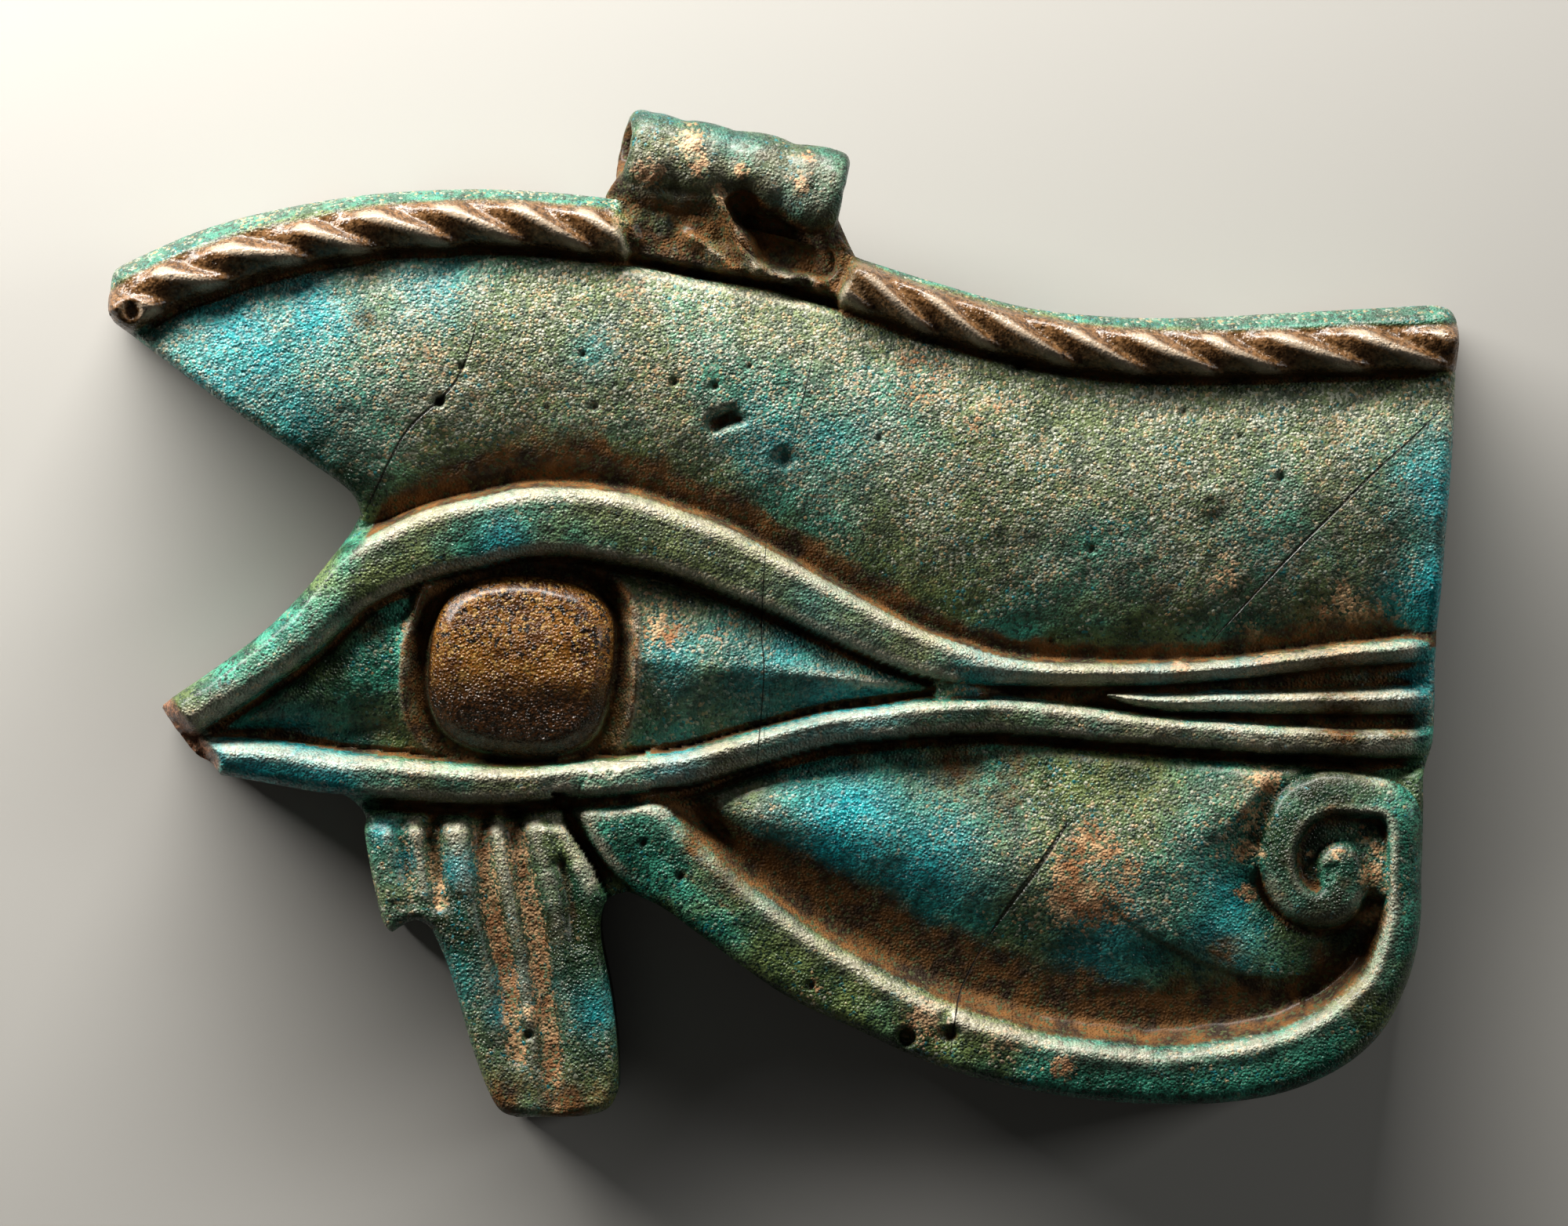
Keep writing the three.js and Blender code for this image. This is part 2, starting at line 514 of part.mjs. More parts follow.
// Plate: slab with a chamfered back, swelling brow and cheek, and a low rim outside the ropes
const browEndShares = [[0, 0.4], [0.1, 0.7], [0.25, 1], [0.9, 1], [1, 0.7]];
const cheekEndShares = [[0, 0.2], [0.2, 0.8], [0.4, 1], [0.75, 0.8], [1, 0.35]];
const fieldRingCount = 22;
const hollowSideCount = 16;
function plate() {
  const slab = solid(loft([level(grow(outline, -backChamfer), 0), level(outline, backChamfer),
    level(outline, bedHeight)]));
  const root = bedHeight / 2;
  const brow = pillow(route(browFieldTopShares), route(browFieldBottomShares), fieldRingCount,
    browPillowShares, root, bedHeight + valleyRise, browRise - valleyRise, browEndShares);
  const cheek = pillow(route(cheekFieldTopShares), route(cheekFieldBottomShares), fieldRingCount,
    cheekPillowShares, root, bedHeight + valleyRise, cheekRise - valleyRise, cheekEndShares);
  const rooms = bands.map(([curve, widths, spacing]) => room(curve, widths, bedHeight, spacing));
  const centre = place(spiralShare);
  const hollow = solid(new THREE.CylinderGeometry(
    spiralHollow / 2, spiralHollow / 2, 2 * overrun, hollowSideCount)
    .rotateX(Math.PI / 2).translate(centre.x, centre.y, bedHeight + overrun));
  const ropes = [outlineShares.browTop, outlineShares.browTopRight].map((shares) => room(
    ropeCurve(shares), [[0, ropeWidth], [1, ropeWidth]], bedHeight));
  const rims = [outlineShares.browTop, outlineShares.browTopRight].map((shares) => band(
    route(shares), [[0, 2 * rimWidth], [1, 2 * rimWidth]], rimShares, rimRise, outlineSpacing));
  const fields = cut(brow.add(cheek).intersect(insideOutline), ...rooms, ...ropes, hollow);
  const raised = join(fields, ...rims.map((rim) => rim.intersect(insideOutline)));
  return join(slab, cut(raised, loopRoom(bedHeight)));
}

// Materials
const turquoise = { color: '#4f8a80', roughness: 0.5, metalness: 0 };
const greenish = { color: '#5d8474', roughness: 0.55, metalness: 0 };
const manganese = { color: '#4a352b', roughness: 0.6, metalness: 0 };

const amulet = new THREE.Group();
function piece(name, body, look) {
  const mesh = body.getMesh();
  const geometry = new THREE.BufferGeometry();
  geometry.setAttribute('position', new THREE.BufferAttribute(mesh.vertProperties, mesh.numProp));
  geometry.setIndex(new THREE.BufferAttribute(mesh.triVerts, 1));
  geometry.computeVertexNormals();
  const part = new THREE.Mesh(geometry, new THREE.MeshStandardMaterial(look));
  part.name = name;
  amulet.add(part);
}
piece('plate', plate(), greenish);
piece('brow_rope_left', rope(outlineShares.browTop), manganese);
piece('brow_rope_right', rope(outlineShares.browTopRight), manganese);
piece('suspension_loop', suspensionLoop(), turquoise);
piece('upper_lid', upperLid(), turquoise);
piece('lower_lid', lowerLid(), turquoise);
piece('cosmetic_line_middle', middleLine(), turquoise);
piece('eyeball', eyeball(), greenish);
piece('iris_inlay', iris(), manganese);
piece('cheek_mark', cheekMark(), turquoise);
piece('curl_band', curl(), turquoise);

// The origin is the middle of the back
const box = new THREE.Box3().setFromObject(amulet);
const middle = box.getCenter(new THREE.Vector3());
amulet.position.set(-middle.x, -middle.y, -box.min.z);

export default amulet;
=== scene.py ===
"""Wedjat eye amulet of glazed composition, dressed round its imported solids.

The front is one relief, worked out from curves read off the photograph, and each solid's piece
takes its own share of it. Heights and places in the face are in millimetres until a mesh is made.
"""
import math

import bpy
import numpy as np
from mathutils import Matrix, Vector


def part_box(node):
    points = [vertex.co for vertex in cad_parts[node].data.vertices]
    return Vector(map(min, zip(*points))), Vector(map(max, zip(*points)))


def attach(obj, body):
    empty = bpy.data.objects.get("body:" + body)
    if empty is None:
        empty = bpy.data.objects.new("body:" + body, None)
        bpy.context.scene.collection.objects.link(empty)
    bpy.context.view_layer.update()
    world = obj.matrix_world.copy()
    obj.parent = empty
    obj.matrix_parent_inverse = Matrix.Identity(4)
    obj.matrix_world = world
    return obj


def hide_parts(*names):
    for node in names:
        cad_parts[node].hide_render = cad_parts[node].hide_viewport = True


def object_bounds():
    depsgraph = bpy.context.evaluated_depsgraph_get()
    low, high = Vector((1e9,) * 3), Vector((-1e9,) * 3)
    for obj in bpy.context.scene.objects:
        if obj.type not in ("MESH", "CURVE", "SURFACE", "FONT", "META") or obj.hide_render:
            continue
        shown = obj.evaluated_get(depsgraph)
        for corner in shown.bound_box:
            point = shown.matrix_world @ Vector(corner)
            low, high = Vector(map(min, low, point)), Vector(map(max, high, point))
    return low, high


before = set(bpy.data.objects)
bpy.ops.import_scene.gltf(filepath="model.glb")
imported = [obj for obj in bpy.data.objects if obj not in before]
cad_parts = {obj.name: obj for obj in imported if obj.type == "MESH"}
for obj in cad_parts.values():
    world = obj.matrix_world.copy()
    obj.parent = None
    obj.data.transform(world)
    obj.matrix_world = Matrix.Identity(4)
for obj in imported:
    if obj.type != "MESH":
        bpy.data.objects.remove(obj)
cad_box = [list(corner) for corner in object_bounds()]

MM = 0.001
GRID = 0.1

# A distance, in millimetres or half widths, at which a line's mark no longer shows
FAR = 9.0

# The photograph's pixels, and how they lie in the frame
EYE_WIDTH_PIXELS = 1719
EYE_MIDDLE_PIXELS = (1000.5, 782.8)
FRAME_PIXELS = (2000, 1564)
PIXEL = (cad_box[1][0] - cad_box[0][0]) / MM / EYE_WIDTH_PIXELS


def spot(pixels):
    """Places in the face, in millimetres, of pixels of the photograph."""
    return (np.asarray(pixels, float) - EYE_MIDDLE_PIXELS) * (PIXEL, -PIXEL)


def pixels_across(xy):
    """How far across the photograph each place in the face is, in pixels."""
    return xy[:, 0] / PIXEL + EYE_MIDDLE_PIXELS[0]


def top_of(node):
    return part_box(node)[1][2] / MM


# Levels of the solids
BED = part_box("upper_lid")[0][2] / MM
LID_TOP = top_of("upper_lid")
LOWER_LID_TOP = top_of("lower_lid")
LINE_TOP = top_of("cosmetic_line_middle")
ROPE_TOP = top_of("brow_rope_left")
IRIS_TOP = top_of("iris_inlay")
CURL_TOP = top_of("curl_band")
MARK_TOP = top_of("cheek_mark")
EYE_TOP = top_of("eyeball")
RIM_TOP = BED + 1.6
BROW_TOP = BED + 1.85
CHEEK_TOP = BED + 1.6
VALLEY = BED + 0.3

# Outline of the eye, stretch by stretch, clockwise from the inner tip of the brow
OUTLINE_PIXELS = [
    [(158, 338), (250, 297), (350, 269), (470, 249), (600, 242), (700, 246), (772, 253)],
    [(772, 253), (932, 286), (1092, 329)],
    [(1092, 329), (1200, 363), (1310, 393), (1420, 405), (1520, 406), (1660, 399), (1828, 390)],
    [(1828, 390), (1848, 395), (1858, 409), (1859, 425)],
    [(1859, 425), (1852, 560), (1842, 700), (1833, 830), (1830, 935), (1817, 985), (1815, 1000)],
    [(1815, 1000), (1815, 1100), (1811, 1190), (1795, 1256), (1760, 1320), (1700, 1368), (1610, 1400),
     (1480, 1409), (1330, 1394), (1200, 1361), (1090, 1312), (1000, 1269), (900, 1198), (845, 1158),
     (800, 1139)],
    [(800, 1139), (778, 1146), (768, 1165), (767, 1200), (780, 1270), (788, 1340), (789, 1392)],
    [(789, 1392), (776, 1414), (740, 1424), (660, 1425)],
    [(660, 1425), (634, 1411), (606, 1345), (575, 1240), (552, 1185)],
    [(552, 1185), (530, 1174), (500, 1190)],
    [(500, 1190), (488, 1172), (474, 1110), (466, 1062), (466, 1040), (440, 1014)],
    [(440, 1014), (400, 1010), (340, 999), (284, 989)],
    [(284, 989), (268, 974), (244, 958), (204, 902)],
    [(204, 902), (280, 850), (345, 800), (400, 742), (440, 690), (460, 656)],
    [(460, 656), (446, 627), (390, 586), (300, 525), (200, 452), (148, 413)],
    [(148, 413), (141, 396), (144, 352), (158, 338)],
]

# Centrelines of the raised bands
UPPER_LID_PIXELS = [
    (222, 920), (300, 872), (380, 812), (450, 745), (520, 705), (610, 678), (720, 664), (830, 682),
    (940, 722), (1060, 780), (1150, 823), (1220, 846), (1300, 857), (1420, 861), (1560, 855), (1700, 838),
    (1845, 825),
]
LOWER_LID_PIXELS = [
    (255, 966), (320, 968), (400, 980), (500, 992), (620, 1000), (740, 993), (860, 982), (960, 955),
    (1060, 930), (1160, 917), (1250, 912), (1340, 918), (1440, 929), (1560, 938), (1700, 946),
    (1845, 948),
]
MIDDLE_LINE_PIXELS = [(1412, 888), (1480, 896), (1560, 896), (1650, 896), (1740, 894), (1845, 891)]
CURL_PIXELS = [
    (765, 1000), (799, 1049), (860, 1106), (940, 1168), (1040, 1238), (1160, 1304), (1300, 1354),
    (1460, 1377), (1600, 1363), (1700, 1322), (1765, 1256), (1788, 1180), (1791, 1100), (1790, 1052),
    (1772, 1024), (1735, 1016), (1690, 1015), (1654, 1032), (1635, 1068), (1632, 1106), (1646, 1142),
    (1675, 1160), (1704, 1150), (1713, 1124), (1709, 1104),
]
SPIRAL_START_SHARE = 0.46
ROPE_LEFT_PIXELS = [
    (160, 396), (230, 360), (330, 326), (450, 300), (580, 288), (700, 290), (815, 304), (905, 322),
]
ROPE_RIGHT_PIXELS = [
    (1000, 340), (1062, 358), (1150, 386), (1250, 417), (1350, 440), (1450, 451), (1560, 453),
    (1700, 449), (1868, 444),
]

# Full widths in pixels, at places along: by pixel across the photograph, or by share of the run
UPPER_LID_WIDTHS = [
    (220, 60), (300, 64), (400, 76), (500, 86), (600, 91), (800, 92), (900, 84), (1000, 74), (1100, 66),
    (1200, 56), (1300, 42), (1400, 35), (1550, 31), (1700, 32), (1836, 36),
]
LOWER_LID_WIDTHS = [
    (262, 54), (350, 59), (500, 58), (700, 49), (1000, 46), (1200, 50), (1300, 50), (1400, 46),
    (1500, 42), (1700, 38), (1830, 42),
]
MIDDLE_LINE_WIDTHS = [(1412, 4), (1440, 18), (1500, 30), (1650, 34), (1750, 38), (1834, 44)]
CURL_WIDTHS = [
    (0, 128), (0.05, 112), (0.13, 92), (0.25, 86), (0.5, 86), (0.6, 76), (0.66, 62), (0.705, 52),
    (0.76, 48), (0.8, 54), (0.83, 62), (0.86, 60), (0.89, 52), (0.93, 48), (0.955, 48), (0.97, 60),
    (0.985, 68), (1, 70),
]
ROPE_WIDTH = 58
SPLINE_STEPS = 7


def curve(points, steps=SPLINE_STEPS):
    """A smooth line through points: the same spline that the solids follow."""
    p = np.asarray(points, float)
    p = np.vstack([p[:1], p, p[-1:]])
    t = np.linspace(0, 1, steps, endpoint=False)[:, None]
    runs = []
    for before, start, end, after in zip(p[:-3], p[1:-2], p[2:-1], p[3:]):
        leave, arrive = (end - before) / 2, (after - start) / 2
        runs.append((2 * start - 2 * end + leave + arrive) * t ** 3
                    + (3 * end - 3 * start - 2 * leave - arrive) * t ** 2 + leave * t + start)
    return np.vstack(runs + [p[-1:]])


def along(xy, line):
    """For each place: its distance to a line, the side it is on (left is +1) and the share run."""
    best = np.full(len(xy), np.inf)
    side = np.ones(len(xy))
    run = np.zeros(len(xy))
    edges = np.diff(line, axis=0)
    lengths = np.hypot(*edges.T)
    starts = np.concatenate([[0], np.cumsum(lengths)])
    for start, edge, length, at in zip(line[:-1], edges, lengths, starts):
        if length == 0:
            continue
        x = xy[:, 0] - start[0]
        y = xy[:, 1] - start[1]
        t = np.clip((x * edge[0] + y * edge[1]) / length ** 2, 0, 1)
        d = (x - t * edge[0]) ** 2 + (y - t * edge[1]) ** 2
        closer = d < best
        best[closer] = d[closer]
        side[closer] = np.sign(edge[0] * y - edge[1] * x)[closer]
        run[closer] = (at + t * length)[closer]
    return np.sqrt(best), side, run / starts[-1]


def distance(xy, pixels):
    """How far each place is from a smooth line through pixels."""
    return along(xy, curve(spot(pixels)))[0]


def inside(xy, ring):
    """Which places lie inside a closed ring."""
    x, y = xy.T
    found = np.zeros(len(xy), bool)
    for (x0, y0), (x1, y1) in zip(ring, np.roll(ring, -1, axis=0)):
        if y0 == y1:
            continue
        crosses = (y0 > y) != (y1 > y)
        found ^= crosses & (x < (x1 - x0) * (y - y0) / (y1 - y0) + x0)
    return found


def smooth(low, high, value):
    t = np.clip((value - low) / (high - low), 0, 1)
    return t * t * (3 - 2 * t)


def mixed(a, b, share):
    return a * (1 - share) + b * share


def beyond(d, half):
    return np.maximum(d - half, 0)


def share_between(a, b):
    """How far places lie on the way from one line to another, given their distances."""
    return a / np.maximum(a + b, 1e-6)


def higher(a, b, soft):
    """The higher of two surfaces, with a fillet where they meet."""
    h = np.maximum(soft - np.abs(a - b), 0) / soft
    return np.maximum(a, b) + h * h * soft / 4


def noise(xy, cell, seed):
    """Smooth value noise from -1 to 1."""
    table = np.random.RandomState(seed).uniform(-1, 1, (256, 256))
    p = xy / cell
    base = np.floor(p).astype(int)
    f = p - base
    f = f * f * (3 - 2 * f)
    i, j = base[:, 0] % 256, base[:, 1] % 256
    i1, j1 = (i + 1) % 256, (j + 1) % 256
    low = mixed(table[i, j], table[i1, j], f[:, 0])
    top = mixed(table[i, j1], table[i1, j1], f[:, 0])
    return mixed(low, top, f[:, 1])


def patchy(xy, cell, seed):
    """Smooth value noise from 0 to 1."""
    return 0.5 + 0.5 * noise(xy, cell, seed)


def swell_at(xy, x, y, radius, power=1):
    """1 at a pixel, fading to 0 round it: the higher the power, the steeper at the radius."""
    d2 = ((xy - spot((x, y))) ** 2).sum(1) / (radius * PIXEL) ** 2
    return np.exp(-d2 ** power)


def blobs(xy, spots):
    """Soft round patches: (x pixel, y pixel, radius in pixels, strength), the strongest at each place."""
    total = np.zeros(len(xy))
    for x, y, radius, strength in spots:
        total = np.maximum(total, strength * swell_at(xy, x, y, radius))
    return total


outline = np.vstack([curve(spot(stretch))[:-1] for stretch in OUTLINE_PIXELS])
upper_lid_line = curve(spot(UPPER_LID_PIXELS))
lower_lid_line = curve(spot(LOWER_LID_PIXELS))
middle_line = curve(spot(MIDDLE_LINE_PIXELS))
curl_line = curve(spot(CURL_PIXELS))
rope_left_line = curve(spot(ROPE_LEFT_PIXELS))
rope_right_line = curve(spot(ROPE_RIGHT_PIXELS))
rope_whole_line = np.vstack([rope_left_line, rope_right_line])


def widths_by_x(line, widths):
    """Half widths, as a function of the share run, of a table given by pixels across."""
    lengths = np.concatenate([[0], np.cumsum(np.hypot(*np.diff(line, axis=0).T))])
    halves = np.interp(pixels_across(line), *zip(*widths)) / 2 * PIXEL
    return lambda run: np.interp(run, lengths / lengths[-1], halves)


def widths_by_share(widths):
    return lambda run: np.interp(run, *zip(*widths)) / 2 * PIXEL


upper_lid_half = widths_by_x(upper_lid_line, UPPER_LID_WIDTHS)
lower_lid_half = widths_by_x(lower_lid_line, LOWER_LID_WIDTHS)
middle_line_half = widths_by_x(middle_line, MIDDLE_LINE_WIDTHS)
curl_half = widths_by_share(CURL_WIDTHS)
rope_half = ROPE_WIDTH / 2 * PIXEL


# Sections of the bands: shares of the half width, left of the run being +1, and of the rise
UPPER_LID_SECTION = [
    (-1.8, -1.6), (-1.12, -0.1), (-1.0, 0.48), (-0.84, 0.79), (-0.3, 0.92), (0.2, 0.97), (0.52, 1.0),
    (0.76, 0.93), (0.95, 0.6), (1.08, 0.22), (1.3, -0.15), (1.8, -1.2),
]
LID_CORNER_SECTION = [
    (-1.8, -1.6), (-1.12, -0.1), (-1.0, 0.36), (-0.8, 0.72), (-0.45, 0.94), (-0.1, 1.0), (0.3, 0.95),
    (0.7, 0.82), (1.0, 0.68), (1.3, 0.52), (1.8, 0.3), (2.4, 0.1),
]
LOWER_LID_SECTION = [
    (-1.8, -2.2), (-1.14, -0.3), (-1.0, 0.58), (-0.82, 0.84), (-0.3, 0.94), (0.1, 0.98), (0.35, 1.0),
    (0.62, 0.88), (0.92, 0.46), (1.12, 0.0), (1.8, -1.4),
]
LOWER_CORNER_SECTION = [
    (-2.6, 0.3), (-1.9, 0.6), (-1.3, 0.76), (-0.8, 0.86), (-0.3, 0.94), (0.1, 1.0), (0.35, 0.97),
    (0.62, 0.82), (0.92, 0.46), (1.12, 0.0), (1.8, -1.4),
]
LINE_SECTION = [
    (-1.8, -1.0), (-1.1, 0.05), (-0.84, 0.6), (-0.35, 0.88), (0.1, 1.0), (0.45, 0.9), (0.8, 0.55),
    (1.1, 0.1), (1.8, -1.0),
]
CURL_SECTION = [
    (-1.8, -1.6), (-1.12, -0.1), (-1.0, 0.42), (-0.82, 0.7), (-0.3, 0.88), (0.2, 0.95), (0.58, 1.0),
    (0.8, 0.88), (1.0, 0.64), (1.2, 0.34), (1.45, 0.02), (1.8, -0.5),
]
CORE_SECTION = [(0, 1.0), (0.4, 0.97), (0.75, 0.85), (1.0, 0.55), (1.2, 0.1), (1.8, -1.2)]


def sectioned(d, side, half, *parts):
    """Height share of a band at a distance from its centreline: its sections, each by its own share."""
    total = 0
    for section, share in parts:
        across, rise = curve(section, 6).T
        total = total + share * np.interp(d * side / half, across, rise)
    return total


# Strands of the ropes: where each groove between two of them crosses the centreline
LEFT_STRAND_PIXELS = [100, 190, 262, 368, 447, 547, 641, 730, 812, 895]
RIGHT_STRAND_PIXELS = [1010, 1085, 1164, 1243, 1338, 1431, 1526, 1603, 1706, 1812, 1900]
STRAND_LEAN = 0.5
STRAND_DEPTH = 0.42
STRAND_SKEW = 1.75
STRAND_ROUND = 1.9
STRAND_BEND = 0.06
ROPE_REACH = 1.6
ROPE_SIDE_RISE = 1.0
ROPE_FALL = 3


def rope(xy, line, strands):
    """A rope whose strands wind across it: its height (0 away from it), distance and ridges."""
    d, side, _ = along(xy, line)
    a = np.clip(d * side / rope_half, -ROPE_REACH, ROPE_REACH)
    turn = np.interp(pixels_across(xy), strands, np.arange(len(strands))) + STRAND_LEAN * a
    turn += STRAND_BEND * np.sin(3 * a)
    part = turn - np.floor(turn)
    ridge = 1 - np.abs(2 * part ** STRAND_SKEW - 1) ** STRAND_ROUND
    dome = np.where(np.abs(a) < 1, np.sqrt(np.maximum(1 - a * a, 0)), -(np.abs(a) - 1) * ROPE_FALL)
    crown = ROPE_TOP - ROPE_SIDE_RISE
    height = crown + ROPE_SIDE_RISE * dome - STRAND_DEPTH * (1 - ridge) * (1 - 0.45 * np.abs(a) ** 3)
    return np.where(d < 2 * rope_half, height, 0), d, ridge


# Flutes of the cheek mark: points down each groove, half width in pixels and depth
FLUTES = [
    ([(513, 1058), (521, 1100), (530, 1150)], 11, 0.3),
    ([(552, 1050), (556, 1100), (564, 1152)], 13, 0.5),
    ([(612, 1044), (624, 1135), (638, 1200), (651, 1266), (660, 1345)], 16, 0.55),
    ([(652, 1044), (667, 1112), (683, 1182), (692, 1250), (703, 1330), (708, 1406)], 17, 0.55),
    ([(716, 1105), (727, 1146), (737, 1205)], 10, 0.24),
]
DEEPEST_FLUTE = 0.55
REED_SWELL = 0.07
MARK_EDGE_PIXELS = [(708, 1020), (735, 1070), (758, 1110), (776, 1150)]

# Pits and lumps: x, y, radius in pixels, depth in millimetres
PITS = [
    (932, 534, 13, 0.4), (914, 541, 12, 0.4), (948, 538, 8, 0.2), (1002, 586, 13, 0.22),
    (860, 490, 5, 0.14), (912, 495, 5, 0.14), (1510, 528, 5, 0.16), (1157, 1322, 10, 0.7),
    (822, 1075, 5, 0.18), (868, 1118, 5, 0.18), (562, 512, 7, 0.3), (675, 1320, 5, 0.25),
    (745, 455, 5, 0.14), (590, 470, 5, 0.12), (172, 398, 12, 0.55), (1300, 470, 5, 0.2),
    (760, 520, 5, 0.12), (1632, 612, 6, 0.14), (1340, 815, 5, 0.18), (1035, 1258, 5, 0.16),
    (1212, 1318, 12, 0.26), (1697, 1110, 9, 0.12), (1205, 1295, 9, 0.2), (1390, 702, 5, 0.14),
    (955, 470, 4, 0.12), (700, 520, 4, 0.1), (1122, 560, 5, 0.12), (1580, 560, 4, 0.12),
]
LUMPS = [
    (1538, 637, 20, 0.12), (1570, 735, 26, 0.05), (680, 1292, 15, 0.12), (1357, 1361, 16, 0.07),
    (1700, 548, 22, 0.06), (1505, 855, 14, 0.07), (1215, 880, 20, 0.1),
]

# Cracks: points along each, and how wide it gapes in pixels
CRACKS = [
    ([(610, 415), (600, 450), (585, 485), (562, 512), (530, 540), (505, 575), (465, 655)], 3.4),
    ([(1040, 440), (1030, 490), (1012, 565)], 1.2),
    ([(1840, 520), (1800, 560), (1750, 605), (1700, 655), (1640, 715), (1545, 820)], 3.4),
    ([(978, 690), (972, 800), (975, 860), (965, 985)], 1.6),
    ([(1362, 1050), (1342, 1080), (1318, 1115), (1288, 1155), (1265, 1190)], 6.5),
    ([(1265, 1190), (1240, 1235), (1222, 1280), (1212, 1345)], 2.0),
]

# Shape of the fields
WOBBLE = 0.05
BROW_CREST_SHARE = 0.62
CHEEK_CREST_SHARE = 0.56
EYE_FOOT = BED + 0.42
OUTER_STRETCH = 0.9
CORNER_STRETCH = 1.4
SPIRAL_SHOULDER = 1.5
BREAK_PIXELS = [(200, 898), (232, 940), (262, 972)]
BREAK_REACH = 24
EDGE_ROUND = 0.5

# Unevenness of the surface: height and cell in millimetres, and the seed of its noise
UNEVENNESS = [(0.05, 3.1, 11), (0.035, 1.2, 12), (0.018, 0.45, 13), (0.01, 0.22, 14)]

# Where the forms change across the photograph, in pixels: from none of the change to all of it
INNER_CORNER = (500, 400)
EYE_INNER_END = (560, 480)
LID_TO_LINE = (1180, 1330)
RIGHT_FADE = (1778, 1842)

# The outer corner of the eye, and the join that fills the strip beside it, in pixels and millimetres
OUTER_CORNER = 1192
STRIP_JOIN_PIXEL = 1222
STRIP_JOIN_REACH = 44
STRIP_JOIN = 0.85

# The cheek mark ends at one column above the row where its own edge ends, and at another below it
MARK_RIGHT = 800
MARK_RIGHT_LOW = 792
MARK_EDGE_END = 1150

# How far outside the lower lid and the mark's edge their grooves run, in millimetres
SEAM_SHIFT = 0.24

# The loop's foot on the brow
FOOT_RISE = 1.1
FOOT_LEFT_PIXELS = [(200, 770), (262, 790), (340, 806)]
FOOT_RIGHT_PIXELS = [(280, 1104), (330, 1090), (390, 1066)]
FOOT_FOLDS = [
    ([(884, 303), (905, 318), (940, 345)], 8, 0.35),
    ([(920, 262), (932, 292), (950, 322), (968, 346)], 7, 0.75),
    ([(966, 346), (1000, 358), (1032, 352), (1046, 366)], 7, 0.4),
    ([(775, 268), (800, 288), (812, 306)], 9, 0.35),
    ([(1076, 318), (1092, 345), (1104, 368)], 11, 0.35),
]
POCKET_PIXELS = [(948, 272), (966, 304), (1000, 326), (1046, 338)]
POCKET_REACH = 26

# The iris, and how far out its socket reaches, with the iris itself as 1
SOCKET_SHARE = 1.27
IRIS_TURN = -4
IRIS_PIXEL = (666, 852)
IRIS_HALF = (115 * PIXEL, 113 * PIXEL)

# The floor inside the spiral, full within the smaller radius
SPIRAL_PIXEL = (1706, 1100)
SPIRAL_FLOOR_PIXELS = (66, 54)
SPIRAL_FLOOR = BED + 1.2

# Paste pressed in beside the spiral: spots, the height and the reach from it in millimetres
SPIRAL_BANKS = [([(1760, 1088, 24, 1.6), (1766, 1126, 24, 1.6), (1762, 1160, 24, 0.7)], 1.3, 1.3),
                ([(1626, 1000, 34, 1.4), (1600, 1044, 36, 1.5), (1592, 1092, 32, 1.3)], 1.05, 1.0)]


def line_height(d, reach):
    """A soft ridge or groove along a line."""
    return np.exp(-(d / reach) ** 2)


def iris_shape(xy):
    """The iris: how far out places are, with its edge as 1, where they are in its frame, and its top."""
    turn = math.radians(IRIS_TURN)
    local = xy - spot(IRIS_PIXEL)
    ix = (local[:, 0] * math.cos(turn) + local[:, 1] * math.sin(turn)) / IRIS_HALF[0]
    iy = (-local[:, 0] * math.sin(turn) + local[:, 1] * math.cos(turn)) / IRIS_HALF[1]
    q = (np.abs(ix) ** 3 + np.abs(iy) ** 3) ** (1 / 3) + 0.025 * noise(xy, 1.6, 64)
    top = IRIS_TOP - 0.55 * np.minimum(iy * iy, 1) - 0.22 * np.minimum(np.abs(ix), 1) ** 3
    top -= 0.35 * smooth(0.8, 1.02, q) + 1.4 * smooth(0.97, 1.12, q)
    top += 0.04 * noise(xy, 0.9, 5)
    return q, ix, iy, np.where(q < 1.3, top, 0)


def mark_shape(xy, x_pixel, y_pixel):
    """The cheek mark: reeds between shallow flutes. Also how deep in a flute, and on from its edge."""
    mark_d, mark_side, _ = along(xy, curve(spot(MARK_EDGE_PIXELS)))
    mark = MARK_TOP - 0.12 - 0.1 * smooth(0, 130, np.abs(x_pixel - 610 - 0.22 * (y_pixel - 1050)))
    flute = np.zeros(len(xy))
    for points, half, depth in FLUTES:
        d, _, run = along(xy, curve(spot(points)))
        across = np.exp(-np.abs(d / (half * PIXEL)) ** 2.6)
        mark -= depth * across * (1 - 0.5 * smooth(0.6, 1, run))
        beside = REED_SWELL * smooth(0, 0.05, run) * smooth(1, 0.9, run)
        mark += beside * line_height(d - (half + 15) * PIXEL, 0.34)
        flute = np.maximum(flute, across * depth / DEEPEST_FLUTE)
    mark -= 0.35 * smooth(1064, 1042, y_pixel)
    return mark, flute, mark_d * mark_side


